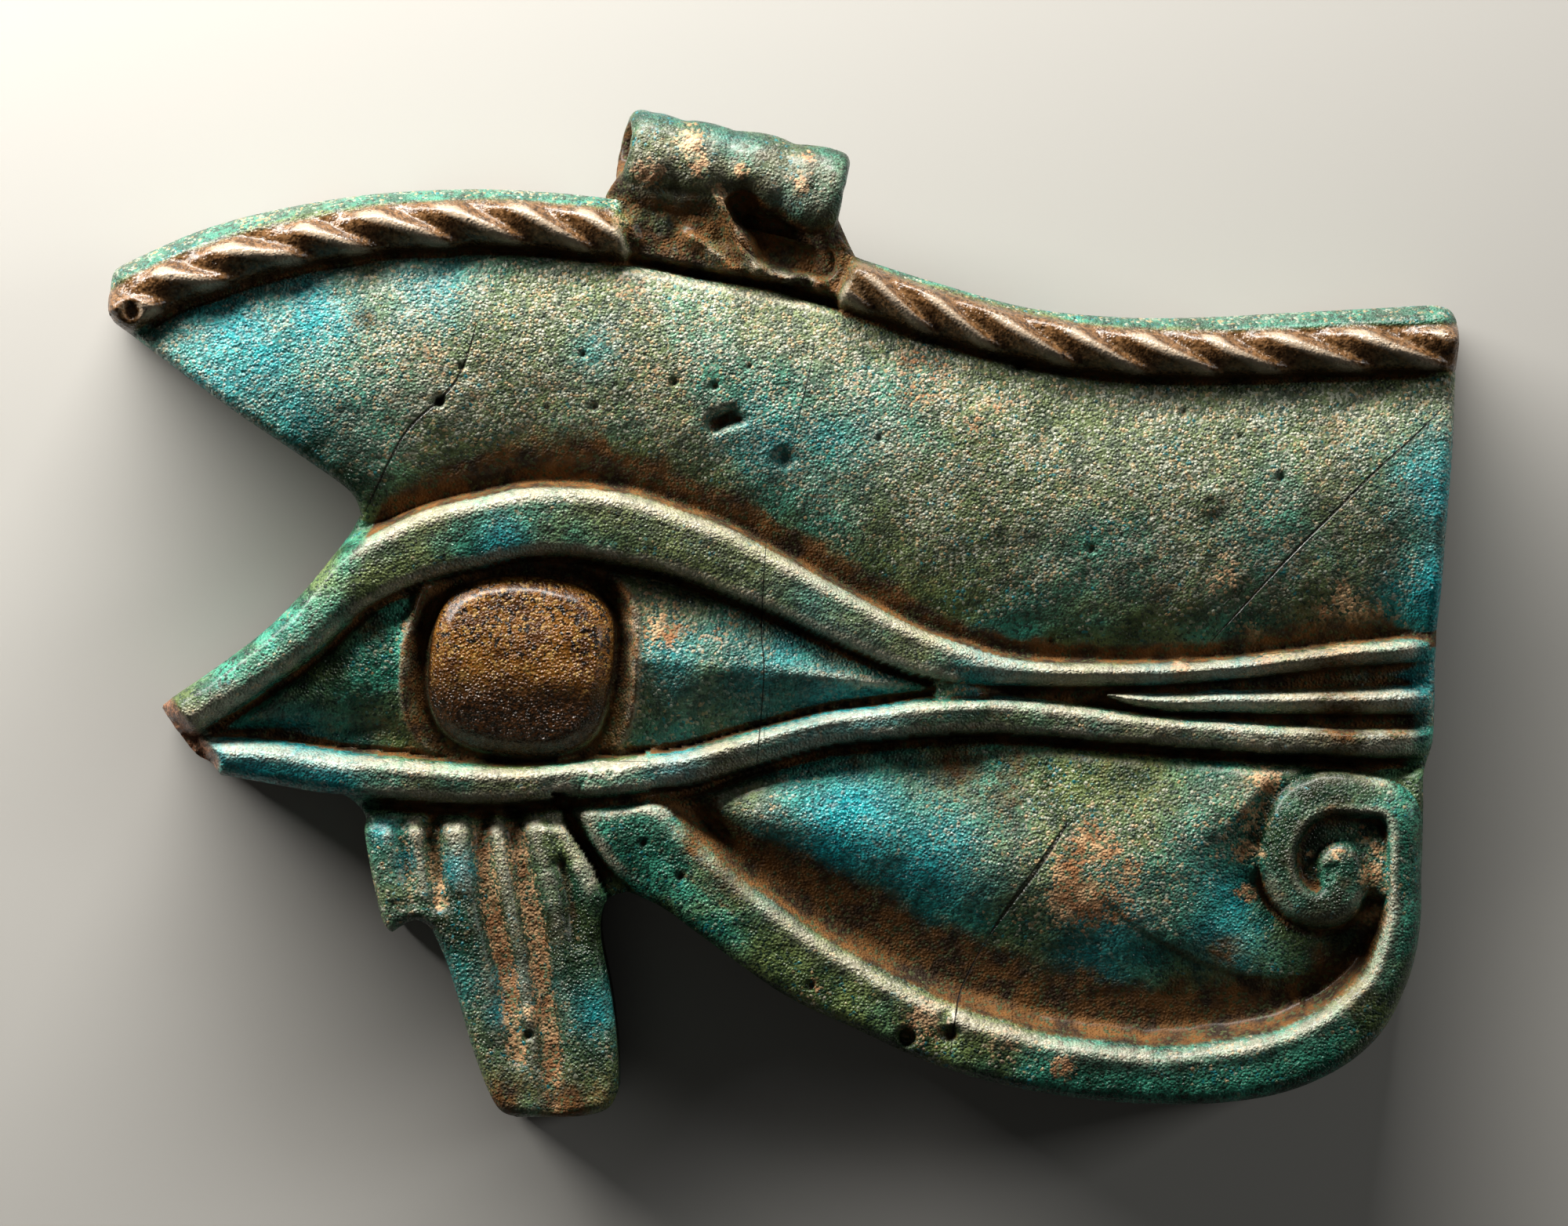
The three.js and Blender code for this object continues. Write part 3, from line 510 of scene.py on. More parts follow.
def foot_shape(xy, x_pixel, y_pixel, rope_way):
    """The loop's foot, with its fin and folds, rising to meet the tube, and how far out of it places are."""
    foot_left = np.interp(y_pixel, *zip(*FOOT_LEFT_PIXELS)) - x_pixel
    foot_right = x_pixel - np.interp(y_pixel, *zip(*FOOT_RIGHT_PIXELS))
    foot_edge = np.maximum(np.maximum(foot_left, foot_right) * PIXEL, -(rope_way + rope_half * 1.04))
    foot = BED + FOOT_RISE * smooth(-rope_half * 1.1, -rope_half * 0.62, rope_way)
    foot += 0.1 * noise(xy, 0.8, 63) + 0.05 * noise(xy, 0.35, 64)
    for points, reach_pixels, rise in FOOT_FOLDS:
        foot += rise * line_height(distance(xy, points), reach_pixels * PIXEL)
    pocket = smooth(POCKET_REACH * PIXEL, 0.35 * POCKET_REACH * PIXEL, distance(xy, POCKET_PIXELS))
    foot -= pocket * np.maximum(foot - BED - 0.35, 0)
    return foot, foot_edge


def relief(xy):
    """Everything about the front at places in the face: height, distances and masks."""
    rim_d, _, _ = along(xy, np.vstack([outline, outline[:1]]))
    edge = np.where(inside(xy, outline), rim_d, -rim_d)

    # Hand-made unevenness: everything inside the outline is looked up a little off its place
    xy = xy + WOBBLE * np.stack([noise(xy, 1.7, 61), noise(xy, 1.7, 62)], 1)
    x_pixel = pixels_across(xy)
    y_pixel = EYE_MIDDLE_PIXELS[1] - xy[:, 1] / PIXEL

    upper_d, upper_side, upper_run = along(xy, upper_lid_line)
    lower_d, lower_side, lower_run = along(xy, lower_lid_line)
    middle_d, middle_side, middle_run = along(xy, middle_line)
    curl_d, curl_side, curl_run = along(xy, curl_line)
    upper_w, lower_w = upper_lid_half(upper_run), lower_lid_half(lower_run)
    middle_w, curl_w = middle_line_half(middle_run), curl_half(curl_run)
    left, left_d, left_ridge = rope(xy, rope_left_line, LEFT_STRAND_PIXELS)
    right, right_d, right_ridge = rope(xy, rope_right_line, RIGHT_STRAND_PIXELS)
    whole_d, whole_side, _ = along(xy, rope_whole_line)

    # Brow: one broad swell, highest near the ropes, with a long slope down to the upper lid
    to_lid, to_rope = beyond(upper_d, upper_w), beyond(whole_d, rope_half)
    share = share_between(to_lid, to_rope)
    low_side = np.clip((BROW_CREST_SHARE - share) / BROW_CREST_SHARE, 0, 1)
    top_side = np.clip((share - BROW_CREST_SHARE) / (1 - BROW_CREST_SHARE), 0, 1)
    swell = 1 - low_side ** 1.75 - 0.5 * top_side ** 2
    span = smooth(0.5, 4, to_lid + to_rope)
    brow = VALLEY + (BROW_TOP - VALLEY) * np.maximum(swell, 0) * (0.55 + 0.45 * span)
    brow -= 0.35 * line_height(to_rope, 0.34) + 0.12 * line_height(to_lid, 0.5)

    # Cheek: swells under the lower lid and sinks to a deep valley inside the curl
    to_lower = beyond(lower_d, lower_w)
    split = int(SPIRAL_START_SHARE * len(curl_line))
    to_sweep = beyond(along(xy, curl_line[:split])[0], curl_w)
    to_spiral = beyond(along(xy, curl_line[split:])[0], curl_w)
    to_curl = np.maximum(-higher(-to_sweep, -to_spiral - SPIRAL_SHOULDER, 1.6), 0)
    share = share_between(to_curl, to_lower)
    swell = smooth(0.02, CHEEK_CREST_SHARE, share) * (1 - 0.45 * smooth(CHEEK_CREST_SHARE, 1.0, share))
    span = smooth(0.4, 4.5, to_curl + to_lower)
    cheek = VALLEY - 0.2 + (CHEEK_TOP - VALLEY + 0.2) * swell * (0.3 + 0.7 * span)
    cheek -= 0.3 * line_height(to_lower, 0.4) + 0.15 * line_height(to_spiral, 0.35)
    in_spiral = smooth(*SPIRAL_FLOOR_PIXELS, np.hypot(*((xy - spot(SPIRAL_PIXEL)) / PIXEL).T))
    cheek = mixed(cheek, SPIRAL_FLOOR, in_spiral)
    for spots, rise, reach in SPIRAL_BANKS:
        banked = np.minimum(blobs(xy, spots), 1) * smooth(reach, 0.1, to_spiral)
        cheek = mixed(cheek, BED + rise, banked)

    # Eyeball: a swell between the lids with a soft ridge that runs out to the outer corner
    share = share_between(to_lower, to_lid)
    inner = smooth(*EYE_INNER_END, x_pixel)
    swell = 1 - np.abs(2 * share - 1.02 - 0.4 * inner) ** (1.2 + 0.8 * inner)
    span = smooth(0, 2.4, to_lower + to_lid)
    eye = EYE_FOOT + (EYE_TOP - EYE_FOOT - 0.05 - 0.25 * inner) * np.clip(swell, 0, 1) * span
    eye -= 0.22 * (line_height(to_lid, 0.2) + line_height(to_lower, 0.16))

    base = np.where(upper_side > 0, brow, np.where(lower_side < 0, cheek, eye))
    strip = (upper_side < 0) & (lower_side > 0) & (x_pixel > OUTER_CORNER)
    joined = np.exp(-((x_pixel - STRIP_JOIN_PIXEL) / STRIP_JOIN_REACH) ** 4) * STRIP_JOIN
    base = np.where(strip, VALLEY + joined, base)

    # Socket of the iris
    q, ix, iy, iris_top = iris_shape(xy)
    ring = line_height(q - SOCKET_SHARE, 0.05)
    socket = smooth(SOCKET_SHARE, 1.08, q)
    in_eye = ~strip & (upper_side < 0) & (lower_side > 0)
    base = np.where(in_eye, mixed(base, VALLEY, socket) + 0.2 * ring * np.abs(ix), base)

    # Relief fades into a smooth strip at the right edge
    fade = smooth(*RIGHT_FADE, x_pixel)
    keep = 1 - 0.5 * fade
    base = base + fade * 0.45 * smooth(BROW_TOP - 0.2, BROW_TOP - 1.0, base)

    # The cheek mark, and the groove that cuts it off from the curl
    mark, flute, mark_edge = mark_shape(xy, x_pixel, y_pixel)
    in_mark = (lower_side < 0) & (x_pixel < MARK_RIGHT) & ((mark_edge < 0) | (y_pixel > MARK_EDGE_END))
    base = np.where(in_mark, mark, base)
    groove = line_height(mark_edge - SEAM_SHIFT, 0.3) * smooth(1165, 1115, y_pixel) * (y_pixel > 1010)

    # Bands over the fields
    lid_line = smooth(*LID_TO_LINE, x_pixel)
    corner = smooth(*INNER_CORNER, x_pixel)
    lid = sectioned(upper_d, upper_side, upper_w, (UPPER_LID_SECTION, (1 - lid_line) * (1 - corner)),
                    (LID_CORNER_SECTION, corner), (LINE_SECTION, lid_line))
    lid = BED + (LID_TOP - BED - (LID_TOP - LINE_TOP) * lid_line) * keep * lid
    lower = sectioned(lower_d, lower_side, lower_w, (LOWER_LID_SECTION, 1 - corner),
                      (LOWER_CORNER_SECTION, corner))
    lower = BED + (LOWER_LID_TOP - BED - 0.35 * lid_line) * keep * lower
    middle = sectioned(middle_d, middle_side, middle_w, (LINE_SECTION, keep))
    middle = np.where(middle_run > 0, BED + (LINE_TOP - BED - 0.1) * middle, 0)

    # Curl: outside, its top runs on level to the outline
    outer = (curl_side < 0) * smooth(0.06, 0.14, curl_run) * smooth(0.66, 0.6, curl_run)
    reach = curl_w * (1 + OUTER_STRETCH * outer)
    core = smooth(0.93, 0.98, curl_run)
    curl = sectioned(curl_d, curl_side, reach, (CURL_SECTION, 1 - core))
    curl = BED + (CURL_TOP - BED) * (curl + sectioned(curl_d, 1, reach, (CORE_SECTION, core)))
    curl = np.where((curl_run > 0) | (curl_d < 0.5), curl, 0)

    curl_fillet = np.where(curl_run < 0.6, 0.75, 0.3)
    z = base
    for band, fillet in ((lid, 0.3), (lower, 0.25), (middle, 0.22), (curl, curl_fillet)):
        z = higher(z, band, fillet)
    z = z - 0.7 * groove
    under_lid = line_height(lower_d - lower_w - SEAM_SHIFT, 0.26) * (lower_side < 0)
    z -= under_lid * (0.75 - (0.75 - 0.3 * (1 - fade)) * smooth(850, 1010, x_pixel)) * (1 - corner)
    z = higher(z, iris_top, 0.12)

    # Rim outside the ropes, sloping out
    above = (whole_side > 0) & (whole_d > rope_half * 0.75) & (x_pixel < 1870)
    rim = RIM_TOP - 0.5 * smooth(0.7, 0, edge) + 0.06 * noise(xy, 2.2, 3)
    z = np.where(above, rim, z)
    z = higher(z, left, 0.2)
    z = higher(z, right, 0.2)

    # The loop's foot takes the ropes' place
    rope_way = whole_d * whole_side
    foot, foot_edge = foot_shape(xy, x_pixel, y_pixel, rope_way)
    share = smooth(0.25, -0.15, foot_edge)
    z = mixed(z, foot, share)

    # Uneven surface, pits and lumps
    dark = np.maximum(smooth(1.12, 0.95, left_d / rope_half), smooth(1.12, 0.95, right_d / rope_half))
    dark = dark * smooth(-0.1, 0.5, foot_edge)
    for height, cell, seed in UNEVENNESS:
        z = z + height * noise(xy, cell, seed)
    for x, y, radius, depth in PITS:
        z = z - depth * swell_at(xy, x, y, radius, 1.6)
    for x, y, radius, height in LUMPS:
        z = z + height * swell_at(xy, x, y, radius, 2) * (1 + 0.4 * noise(xy, 0.3, 15))

    # The broken inner corner and the soft rounding of the outer edge
    broken, _, _ = along(xy, spot(BREAK_PIXELS))
    z = z - 1.5 * smooth(BREAK_REACH * PIXEL, 0, broken) * (1 + 0.3 * noise(xy, 0.3, 16))
    deep = np.clip(1 - edge / EDGE_ROUND, 0, 1) * (1 - share)
    z = z - EDGE_ROUND * 0.8 * (1 - np.sqrt(np.maximum(1 - deep ** 2, 0)))

    between_lids = in_eye & (upper_d > upper_w) & (lower_d > lower_w)
    # A pale film that rises with the brow and cheek crowns and covers the eyeball's outer half, partly
    # painted light on these raised parts
    brow_share = smooth(0.15, 0.75, (brow - VALLEY) / (BROW_TOP - VALLEY))
    cheek_share = 0.6 * smooth(0.5, 0.95, (cheek - VALLEY) / (CHEEK_TOP - VALLEY))
    pale_film_and_painted_light = np.where(upper_side > 0, brow_share, np.where(lower_side < 0, cheek_share, 0.5 * (x_pixel > 780)))
    off_bands = (upper_d > upper_w) & (lower_d > lower_w) & (curl_d > reach)
    in_bowl = (lower_side < 0) & (curl_side > 0) & (x_pixel > 830)
    mark_seam = np.where((lower_side < 0) & (x_pixel < MARK_RIGHT), mark_edge - SEAM_SHIFT, 1.0)
    mark_seam = np.where((y_pixel > MARK_EDGE_END) & (x_pixel < MARK_RIGHT_LOW), -1.0, mark_seam)
    between = np.maximum(upper_side * upper_d, -lower_side * lower_d)
    return {
        "z": np.minimum(np.maximum(z, BED + 0.05), ROPE_TOP + 0.04),
        "edge": edge,
        # Masks
        "dark": dark,
        "flute": flute * in_mark * smooth(1035, 1060, y_pixel),
        # The iris mask drops to half towards its bottom, where the glaze paints shade
        "iris": smooth(1.06, 0.97, q) * in_eye * (0.5 + 0.5 * smooth(-0.55, 0.35, iy)),
        "socket": smooth(1.38, 1.26, q) * smooth(0.98, 1.08, q) * between_lids,
        "ridge": np.where(left_d < right_d, left_ridge, right_ridge),
        "broken": smooth(BREAK_REACH * PIXEL, 0.6 * BREAK_REACH * PIXEL, broken),
        "pale_film_and_painted_light": np.where(dark > 0.5, 0, pale_film_and_painted_light) * off_bands,
        "rim": smooth(0, 0.3, rope_way - rope_half) * (1 - share),
        # Distances from the edges that collect brown
        "cheek_valley": np.where(in_bowl, to_sweep, FAR),
        "brow_valley": np.where(upper_side > 0, to_lid + 3 * corner, FAR),
        # Distances from the seams, below 0 within the piece
        "upper_lid": upper_d - upper_w * (1 + CORNER_STRETCH * corner * (upper_side > 0)),
        "lower_lid": lower_d - lower_w * (1 + CORNER_STRETCH * corner * (lower_side < 0)),
        "cosmetic_line_middle": np.where(middle_run > 0, middle_d - middle_w, middle_d),
        "curl_band": curl_d - reach,
        "cheek_mark": mark_seam,
        "suspension_loop": foot_edge,
        "brow_rope_left": left_d - rope_half,
        "brow_rope_right": right_d - rope_half,
        "iris_inlay": (q - 1.04) * IRIS_HALF[0],
        "eyeball": np.maximum(between, (x_pixel - OUTER_CORNER) * PIXEL),
    }


# Spots of colour: x, y, radius in pixels, strength
BLUE_SPOTS = [
    (330, 978, 36, 0.9), (420, 990, 36, 0.9), (700, 1255, 20, 0.6), (1075, 1062, 60, 1.3),
    (1010, 1090, 45, 1), (1180, 1110, 70, 0.7), (640, 690, 26, 0.8), (1000, 870, 80, 0.5),
    (1040, 900, 55, 0.9), (1120, 905, 40, 0.6), (300, 440, 80, 0.75), (400, 400, 60, 0.6),
    (380, 540, 60, 0.5), (550, 370, 50, 0.4), (1845, 620, 60, 0.8), (1835, 760, 60, 0.9),
    (1815, 870, 50, 0.8), (870, 985, 30, 1), (380, 965, 40, 0.9), (300, 955, 30, 0.7),
    (1270, 850, 40, 0.6), (980, 560, 45, 0.5), (560, 1250, 50, 0.3), (585, 1110, 25, 0.8),
    (521, 1100, 12, 1), (1575, 1160, 24, 0.5), (1560, 1200, 44, 0.6), (860, 830, 50, 0.4),
    (1560, 1130, 40, 0.4), (650, 1250, 20, 0.6), (1400, 1210, 70, 0.5), (490, 1060, 14, 0.8),
    (760, 1290, 40, 0.5), (640, 1290, 20, 0.7), (1570, 875, 40, 0.6), (1480, 870, 30, 0.5),
    (1060, 570, 60, 0.3), (760, 450, 30, 0.3),
]
SAND_SPOTS = [
    (1612, 998, 26, 1.0), (1592, 1040, 30, 1.2), (1584, 1092, 28, 1.1), (1592, 1140, 20, 0.9),
    (804, 800, 16, 1), (808, 850, 18, 1), (804, 905, 18, 1), (790, 950, 16, 0.8), (740, 375, 50, 0.5),
    (1420, 850, 24, 0.4), (1400, 918, 30, 0.3), (1757, 1085, 14, 0.9), (1760, 1130, 12, 0.9),
    (1670, 1090, 9, 0.7), (1300, 520, 50, 0.4), (950, 420, 60, 0.4), (1000, 500, 40, 0.3),
    (796, 790, 13, 0.9), (800, 840, 14, 1), (798, 890, 14, 0.9), (786, 935, 14, 0.8), (518, 800, 9, 0.9),
    (521, 850, 9, 1), (529, 905, 10, 0.9), (545, 955, 10, 0.8), (1674, 1108, 9, 0.9),
    (1692, 1076, 10, 0.6), (905, 330, 14, 0.8), (955, 342, 12, 0.8), (790, 285, 14, 0.7),
    (1035, 358, 10, 0.6), (1110, 372, 16, 0.6), (1750, 1120, 26, 1), (1752, 1170, 26, 1),
    (1740, 1060, 16, 0.7), (1704, 1090, 16, 0.9), (1385, 1110, 85, 1), (1345, 1150, 60, 0.9),
    (1420, 1160, 40, 0.7), (1250, 545, 50, 0.8), (1170, 480, 50, 0.8), (1090, 470, 50, 0.5),
    (800, 380, 60, 0.5), (560, 440, 70, 0.45), (1680, 545, 34, 0.7), (1560, 735, 40, 0.7),
    (1720, 800, 80, 0.8), (840, 470, 70, 0.5), (1530, 640, 40, 0.4), (850, 790, 60, 0.8),
    (930, 800, 50, 0.5), (1180, 1290, 50, 0.7), (1357, 1361, 20, 0.9), (480, 400, 30, 0.5),
    (640, 520, 90, 0.35), (1300, 560, 60, 0.3), (430, 1010, 20, 0.4), (1505, 855, 16, 1),
    (1600, 835, 60, 0.7), (680, 1292, 17, 1), (1350, 1010, 80, 0.35), (1450, 1050, 60, 0.3),
    (660, 1000, 60, 0.3), (1217, 878, 22, 0.7), (1280, 1335, 40, 0.5), (1040, 1262, 20, 0.6),
    (1165, 1300, 30, 0.8), (1075, 700, 30, 0.4),
]
# Dark green glaze, partly painted shade: on slopes that turn away from the light, on the eyeball's lower
# half and along the bottom of the eye
DARK_GLAZE_AND_SHADE_SPOTS = [
    (1250, 640, 90, 0.3), (1640, 1070, 60, 1.5), (1690, 1170, 50, 1.5), (1690, 1000, 60, 1.3),
    (1720, 1110, 40, 1.2), (1560, 700, 80, 0.4), (580, 1300, 60, 0.8), (520, 1120, 40, 0.6),
    (1720, 1290, 40, 0.4), (600, 1180, 90, 1.3), (700, 1200, 90, 1.3), (680, 1300, 90, 0.9),
    (420, 890, 60, 0.5), (500, 910, 50, 0.6), (430, 845, 30, 0.6), (400, 570, 50, 1.1),
    (1640, 1110, 60, 1), (340, 545, 40, 0.5), (440, 620, 44, 1.3), (1500, 830, 80, 0.3),
    (1350, 780, 70, 0.4), (590, 1130, 80, 0.7), (560, 1220, 80, 0.8), (640, 1290, 90, 0.8),
    (745, 1230, 80, 0.9), (740, 1340, 70, 0.8), (700, 1120, 60, 0.5), (1790, 1110, 60, 0.6),
    (1800, 1230, 70, 0.65), (1740, 1330, 60, 0.7), (1640, 1384, 60, 0.7), (1520, 1396, 55, 0.7),
    (1400, 1390, 50, 0.7), (1280, 1372, 50, 0.65), (1150, 1335, 45, 0.6), (1000, 1262, 40, 0.5),
    (1760, 700, 90, 0.5), (1620, 760, 100, 0.6), (1450, 760, 90, 0.6), (1700, 770, 80, 0.6),
    (1280, 740, 80, 0.5), (820, 1080, 60, 0.4), (940, 880, 60, 0.7), (1010, 890, 50, 0.7),
    (840, 880, 60, 0.6), (470, 900, 70, 0.5), (380, 925, 50, 0.6), (430, 590, 50, 0.7),
    (330, 530, 50, 0.4), (640, 1010, 60, 0.3), (1100, 700, 70, 0.4), (950, 620, 80, 0.4),
    (1000, 1120, 70, 0.6), (1130, 1170, 60, 0.6), (1350, 1215, 70, 0.6), (1500, 1190, 60, 0.5),
]
DIRT_SPOTS = [
    (1640, 1120, 34, 0.15), (1690, 1180, 34, 0.2), (1660, 1020, 34, 0.15), (1180, 965, 50, 0.4),
    (1290, 1020, 60, 0.4), (1500, 1010, 60, 0.3), (660, 800, 60, 0.2), (1220, 975, 60, 0.5),
    (1330, 990, 60, 0.4), (1430, 985, 50, 0.4), (1150, 985, 60, 0.4), (1250, 1000, 60, 0.35),
    (1350, 1010, 60, 0.35), (1450, 1000, 60, 0.35), (1180, 1030, 40, 0.3), (1300, 1060, 50, 0.25),
    (1560, 1280, 60, 0.3), (480, 925, 50, 0.45), (420, 925, 40, 0.35), (830, 310, 30, 0.6),
    (900, 330, 30, 0.6), (950, 330, 20, 0.7), (1010, 350, 30, 0.9), (1080, 340, 30, 0.9),
    (1100, 370, 25, 0.7), (1300, 985, 60, 0.45), (1200, 990, 50, 0.45), (1400, 990, 50, 0.4),
    (1100, 980, 40, 0.4), (1700, 1040, 26, 0.5), (1715, 1125, 14, 0.5), (480, 830, 26, 0.3),
    (1740, 740, 50, 0.4), (1650, 790, 50, 0.5), (1540, 800, 50, 0.4), (230, 940, 30, 0.6),
    (470, 405, 22, 0.8), (1250, 570, 24, 0.6), (720, 1405, 40, 0.9), (640, 1400, 40, 0.8),
    (770, 1390, 30, 0.7), (1750, 1130, 18, 0.9), (1745, 1180, 22, 0.9), (1700, 1235, 34, 1),
    (1600, 1010, 40, 0.5), (1570, 1080, 30, 0.4), (1560, 1215, 40, 0.5), (1700, 866, 40, 0.9),
    (1760, 864, 30, 0.8), (1650, 868, 20, 0.6), (1720, 924, 50, 0.8), (1780, 922, 30, 0.7),
    (1180, 740, 30, 0.4), (900, 1070, 40, 0.8), (930, 1110, 40, 0.8), (900, 1000, 50, 0.4),
    (1260, 905, 20, 0.4), (880, 775, 40, 0.5), (960, 800, 40, 0.5), (1060, 835, 40, 0.4),
    (470, 800, 30, 0.5), (1690, 545, 20, 0.7), (1100, 420, 40, 0.3),
]
TEAL_SPOTS = [
    (980, 955, 50, 0.9), (1100, 928, 50, 0.9), (700, 1005, 60, 0.5), (600, 1000, 60, 0.6),
    (680, 1150, 60, 0.7), (700, 1250, 60, 0.7), (600, 1160, 50, 0.8), (300, 440, 110, 1),
    (400, 560, 100, 0.9), (1845, 600, 70, 1), (1840, 760, 80, 1), (870, 985, 60, 1), (380, 965, 110, 1),
    (620, 690, 60, 0.8), (1000, 870, 120, 0.9), (1075, 1062, 110, 1), (1180, 1120, 90, 0.9),
    (1590, 1150, 110, 0.8), (1270, 855, 80, 0.8), (560, 1250, 80, 0.9), (745, 1260, 60, 0.8),
    (500, 1080, 40, 1), (1620, 1385, 130, 0.9), (1400, 1385, 130, 0.7), (1795, 1190, 120, 0.8),
    (830, 1080, 60, 0.7), (970, 560, 70, 0.7), (700, 540, 60, 0.4), (1120, 905, 60, 0.8),
    (330, 860, 90, 0.8), (520, 350, 60, 0.5), (1570, 880, 90, 0.6), (480, 860, 50, 0.7),
    (1000, 640, 60, 0.5), (1640, 1040, 50, 0.6),
]

# How far the brown reaches up from the lid and in from the curl: across the photograph, in millimetres
BROW_BROWN_REACH = [
    (440, 0.4), (520, 1.3), (620, 2.1), (780, 2.1), (900, 1.5), (1000, 1.2), (1100, 1.2), (1200, 0.9),
    (1300, 0.7), (1500, 0.7), (1650, 1.2), (1760, 1.1), (1800, 0.1),
]
CHEEK_BROWN_REACH = [
    (850, 0.7), (900, 1.3), (1000, 2.4), (1100, 2.9), (1250, 3.1), (1400, 3.0), (1600, 2.6), (1690, 2.2),
    (1740, 0.8), (1790, 0.1),
]


def blurred(field, weight, reach):
    """A field smoothed over a reach in millimetres, within the places that have weight."""
    steps = int(2.5 * reach / GRID) + 1
    taps = np.exp(-0.5 * (np.arange(-steps, steps + 1) * GRID / reach) ** 2)

    def spread(values):
        for axis in (0, 1):
            padded = np.pad(values, [(steps, steps) if a == axis else (0, 0) for a in (0, 1)])
            total = np.zeros_like(values)
            for i, tap in enumerate(taps):
                cut = [slice(None), slice(None)]
                cut[axis] = slice(i, i + values.shape[axis])
                total += tap * padded[tuple(cut)]
            values = total
        return values

    return spread(field * weight) / np.maximum(spread(weight), 1e-6)


def corners_of(field):
    """The values at the four corners of each cell."""
    return np.stack([field[:-1, :-1], field[1:, :-1], field[:-1, 1:], field[1:, 1:]])


def corners_mean(field):
    return corners_of(field).sum(0) / 4


def unit(vectors):
    return vectors / np.maximum(np.linalg.norm(vectors, axis=-1, keepdims=True), 1e-9)


# The grid of places on which the front is worked out, with a margin round the solids
MARGIN = 4 * GRID
low = np.array(cad_box[0][:2]) / MM - MARGIN
high = np.array(cad_box[1][:2]) / MM + MARGIN
columns, rows = (int(n) for n in np.ceil((high - low) / GRID) + 1)
grid_x, grid_y = np.meshgrid(low[0] + GRID * np.arange(columns), low[1] + GRID * np.arange(rows))
places = np.stack([grid_x.ravel(), grid_y.ravel()], 1)
front = relief(places)


def as_grid(name):
    return front[name].reshape(rows, columns)


# Which piece each cell belongs to: the first label that holds it, the plate where none does, or none
LABELS = ["upper_lid", "lower_lid", "cosmetic_line_middle", "curl_band", "cheek_mark",
          "suspension_loop", "brow_rope_left", "brow_rope_right", "iris_inlay", "eyeball"]
PLATE = len(LABELS)
cell_label = np.full((rows - 1, columns - 1), PLATE)
for number in reversed(range(len(LABELS))):
    cell_label[corners_mean(as_grid(LABELS[number])) < 0] = number
cell_label[corners_mean(as_grid("edge")) < 0] = -1

# Grid points at a seam or at the outline move onto it, each time by no more than a share of a cell
SNAP_ROUNDS = 2
SNAP_SHARE = 0.45
around = corners_of(np.pad(cell_label, 1, constant_values=-1))
lowest, highest = around.min(0).ravel(), around.max(0).ravel()
on_rim = (lowest == -1) & (highest >= 0)
for _ in range(SNAP_ROUNDS):
    for number in range(-1, PLATE):
        field = as_grid("edge" if number < 0 else LABELS[number])
        chosen = on_rim if number < 0 else (lowest == number) & (highest > number)
        if not chosen.any():
            continue
        slope_y, slope_x = np.gradient(field, GRID)
        slope = np.stack([slope_x.ravel(), slope_y.ravel()], 1)[chosen]
        move = -field.ravel()[chosen, None] * slope / np.maximum((slope ** 2).sum(1), 0.2)[:, None]
        reach = np.hypot(*move.T)[:, None]
        places[chosen] += move * np.minimum(1, SNAP_SHARE * GRID / np.maximum(reach, 1e-9))
    moved = on_rim | ((lowest >= 0) & (lowest != highest))
    for name, values in relief(places[moved]).items():
        front[name][moved] = values

# How far each place lies below its surroundings, near and wide, in millimetres
HOLLOW_REACH = 0.3
VALLEY_REACH = 1.1
covered = (highest >= 0).astype(float).reshape(rows, columns)
height = as_grid("z")
hollow = (blurred(height, covered, HOLLOW_REACH) - height).ravel()
valley = (blurred(height, covered, VALLEY_REACH) - height).ravel()

# Masks that the glaze reads, each from 0 to 1
breakup = patchy(places, 0.9, 31)
fine_breakup = patchy(places, 0.25, 32)
off_edge = smooth(0.45, 1.0, front["edge"])
# Brown soil in the hollows and valleys, as the real glaze holds
soil_and_shade = smooth(0.04, 0.2, hollow) * 0.9 * off_edge
for name, table in (("brow_valley", BROW_BROWN_REACH), ("cheek_valley", CHEEK_BROWN_REACH)):
    brown_reach = np.interp(pixels_across(places), *zip(*table)) * (0.8 + 0.5 * breakup)
    brown = smooth(1.25, 0.4, front[name] / brown_reach)
    soil_and_shade = np.maximum(soil_and_shade, brown * smooth(-0.3, 0.1, valley))
soil_and_shade = np.maximum(soil_and_shade, blobs(places, DIRT_SPOTS) * (0.5 + 0.8 * breakup))
soil_and_shade = np.maximum(soil_and_shade, np.maximum(0.8 * front["socket"], 0.45 * front["flute"]))
# On the loop's foot: brown, and painted shade under the tube
soil_and_shade = np.maximum(soil_and_shade, smooth(0.2, -0.3, front["suspension_loop"]) * (0.45 + 0.5 * breakup))
soil_and_shade = np.clip(soil_and_shade * (0.75 + 0.4 * fine_breakup), 0, 1)
# Pale on crests and crowns: rubbing, and partly a painted highlight; less where painted shade lies
rub_and_highlight = smooth(0.04, 0.15, -hollow) * (0.35 + 0.8 * fine_breakup) * off_edge
rub_and_highlight = np.clip(rub_and_highlight + 0.2 * smooth(0.15, 0.5, -valley) * off_edge, 0, 1)
pale_film_and_painted_light = np.clip(front["pale_film_and_painted_light"] * (0.45 + 0.6 * breakup), 0, 1)
sand = np.clip(blobs(places, SAND_SPOTS) * (0.35 + 1.0 * breakup), 0, 1)
sand = np.maximum(sand, front["flute"] * (0.65 + 0.4 * fine_breakup))
soil_and_shade = soil_and_shade * (1 - 0.55 * sand)
teal = np.maximum(blobs(places, TEAL_SPOTS), front["rim"])
teal = np.clip(teal * (0.6 + 0.6 * breakup), 0, 1)
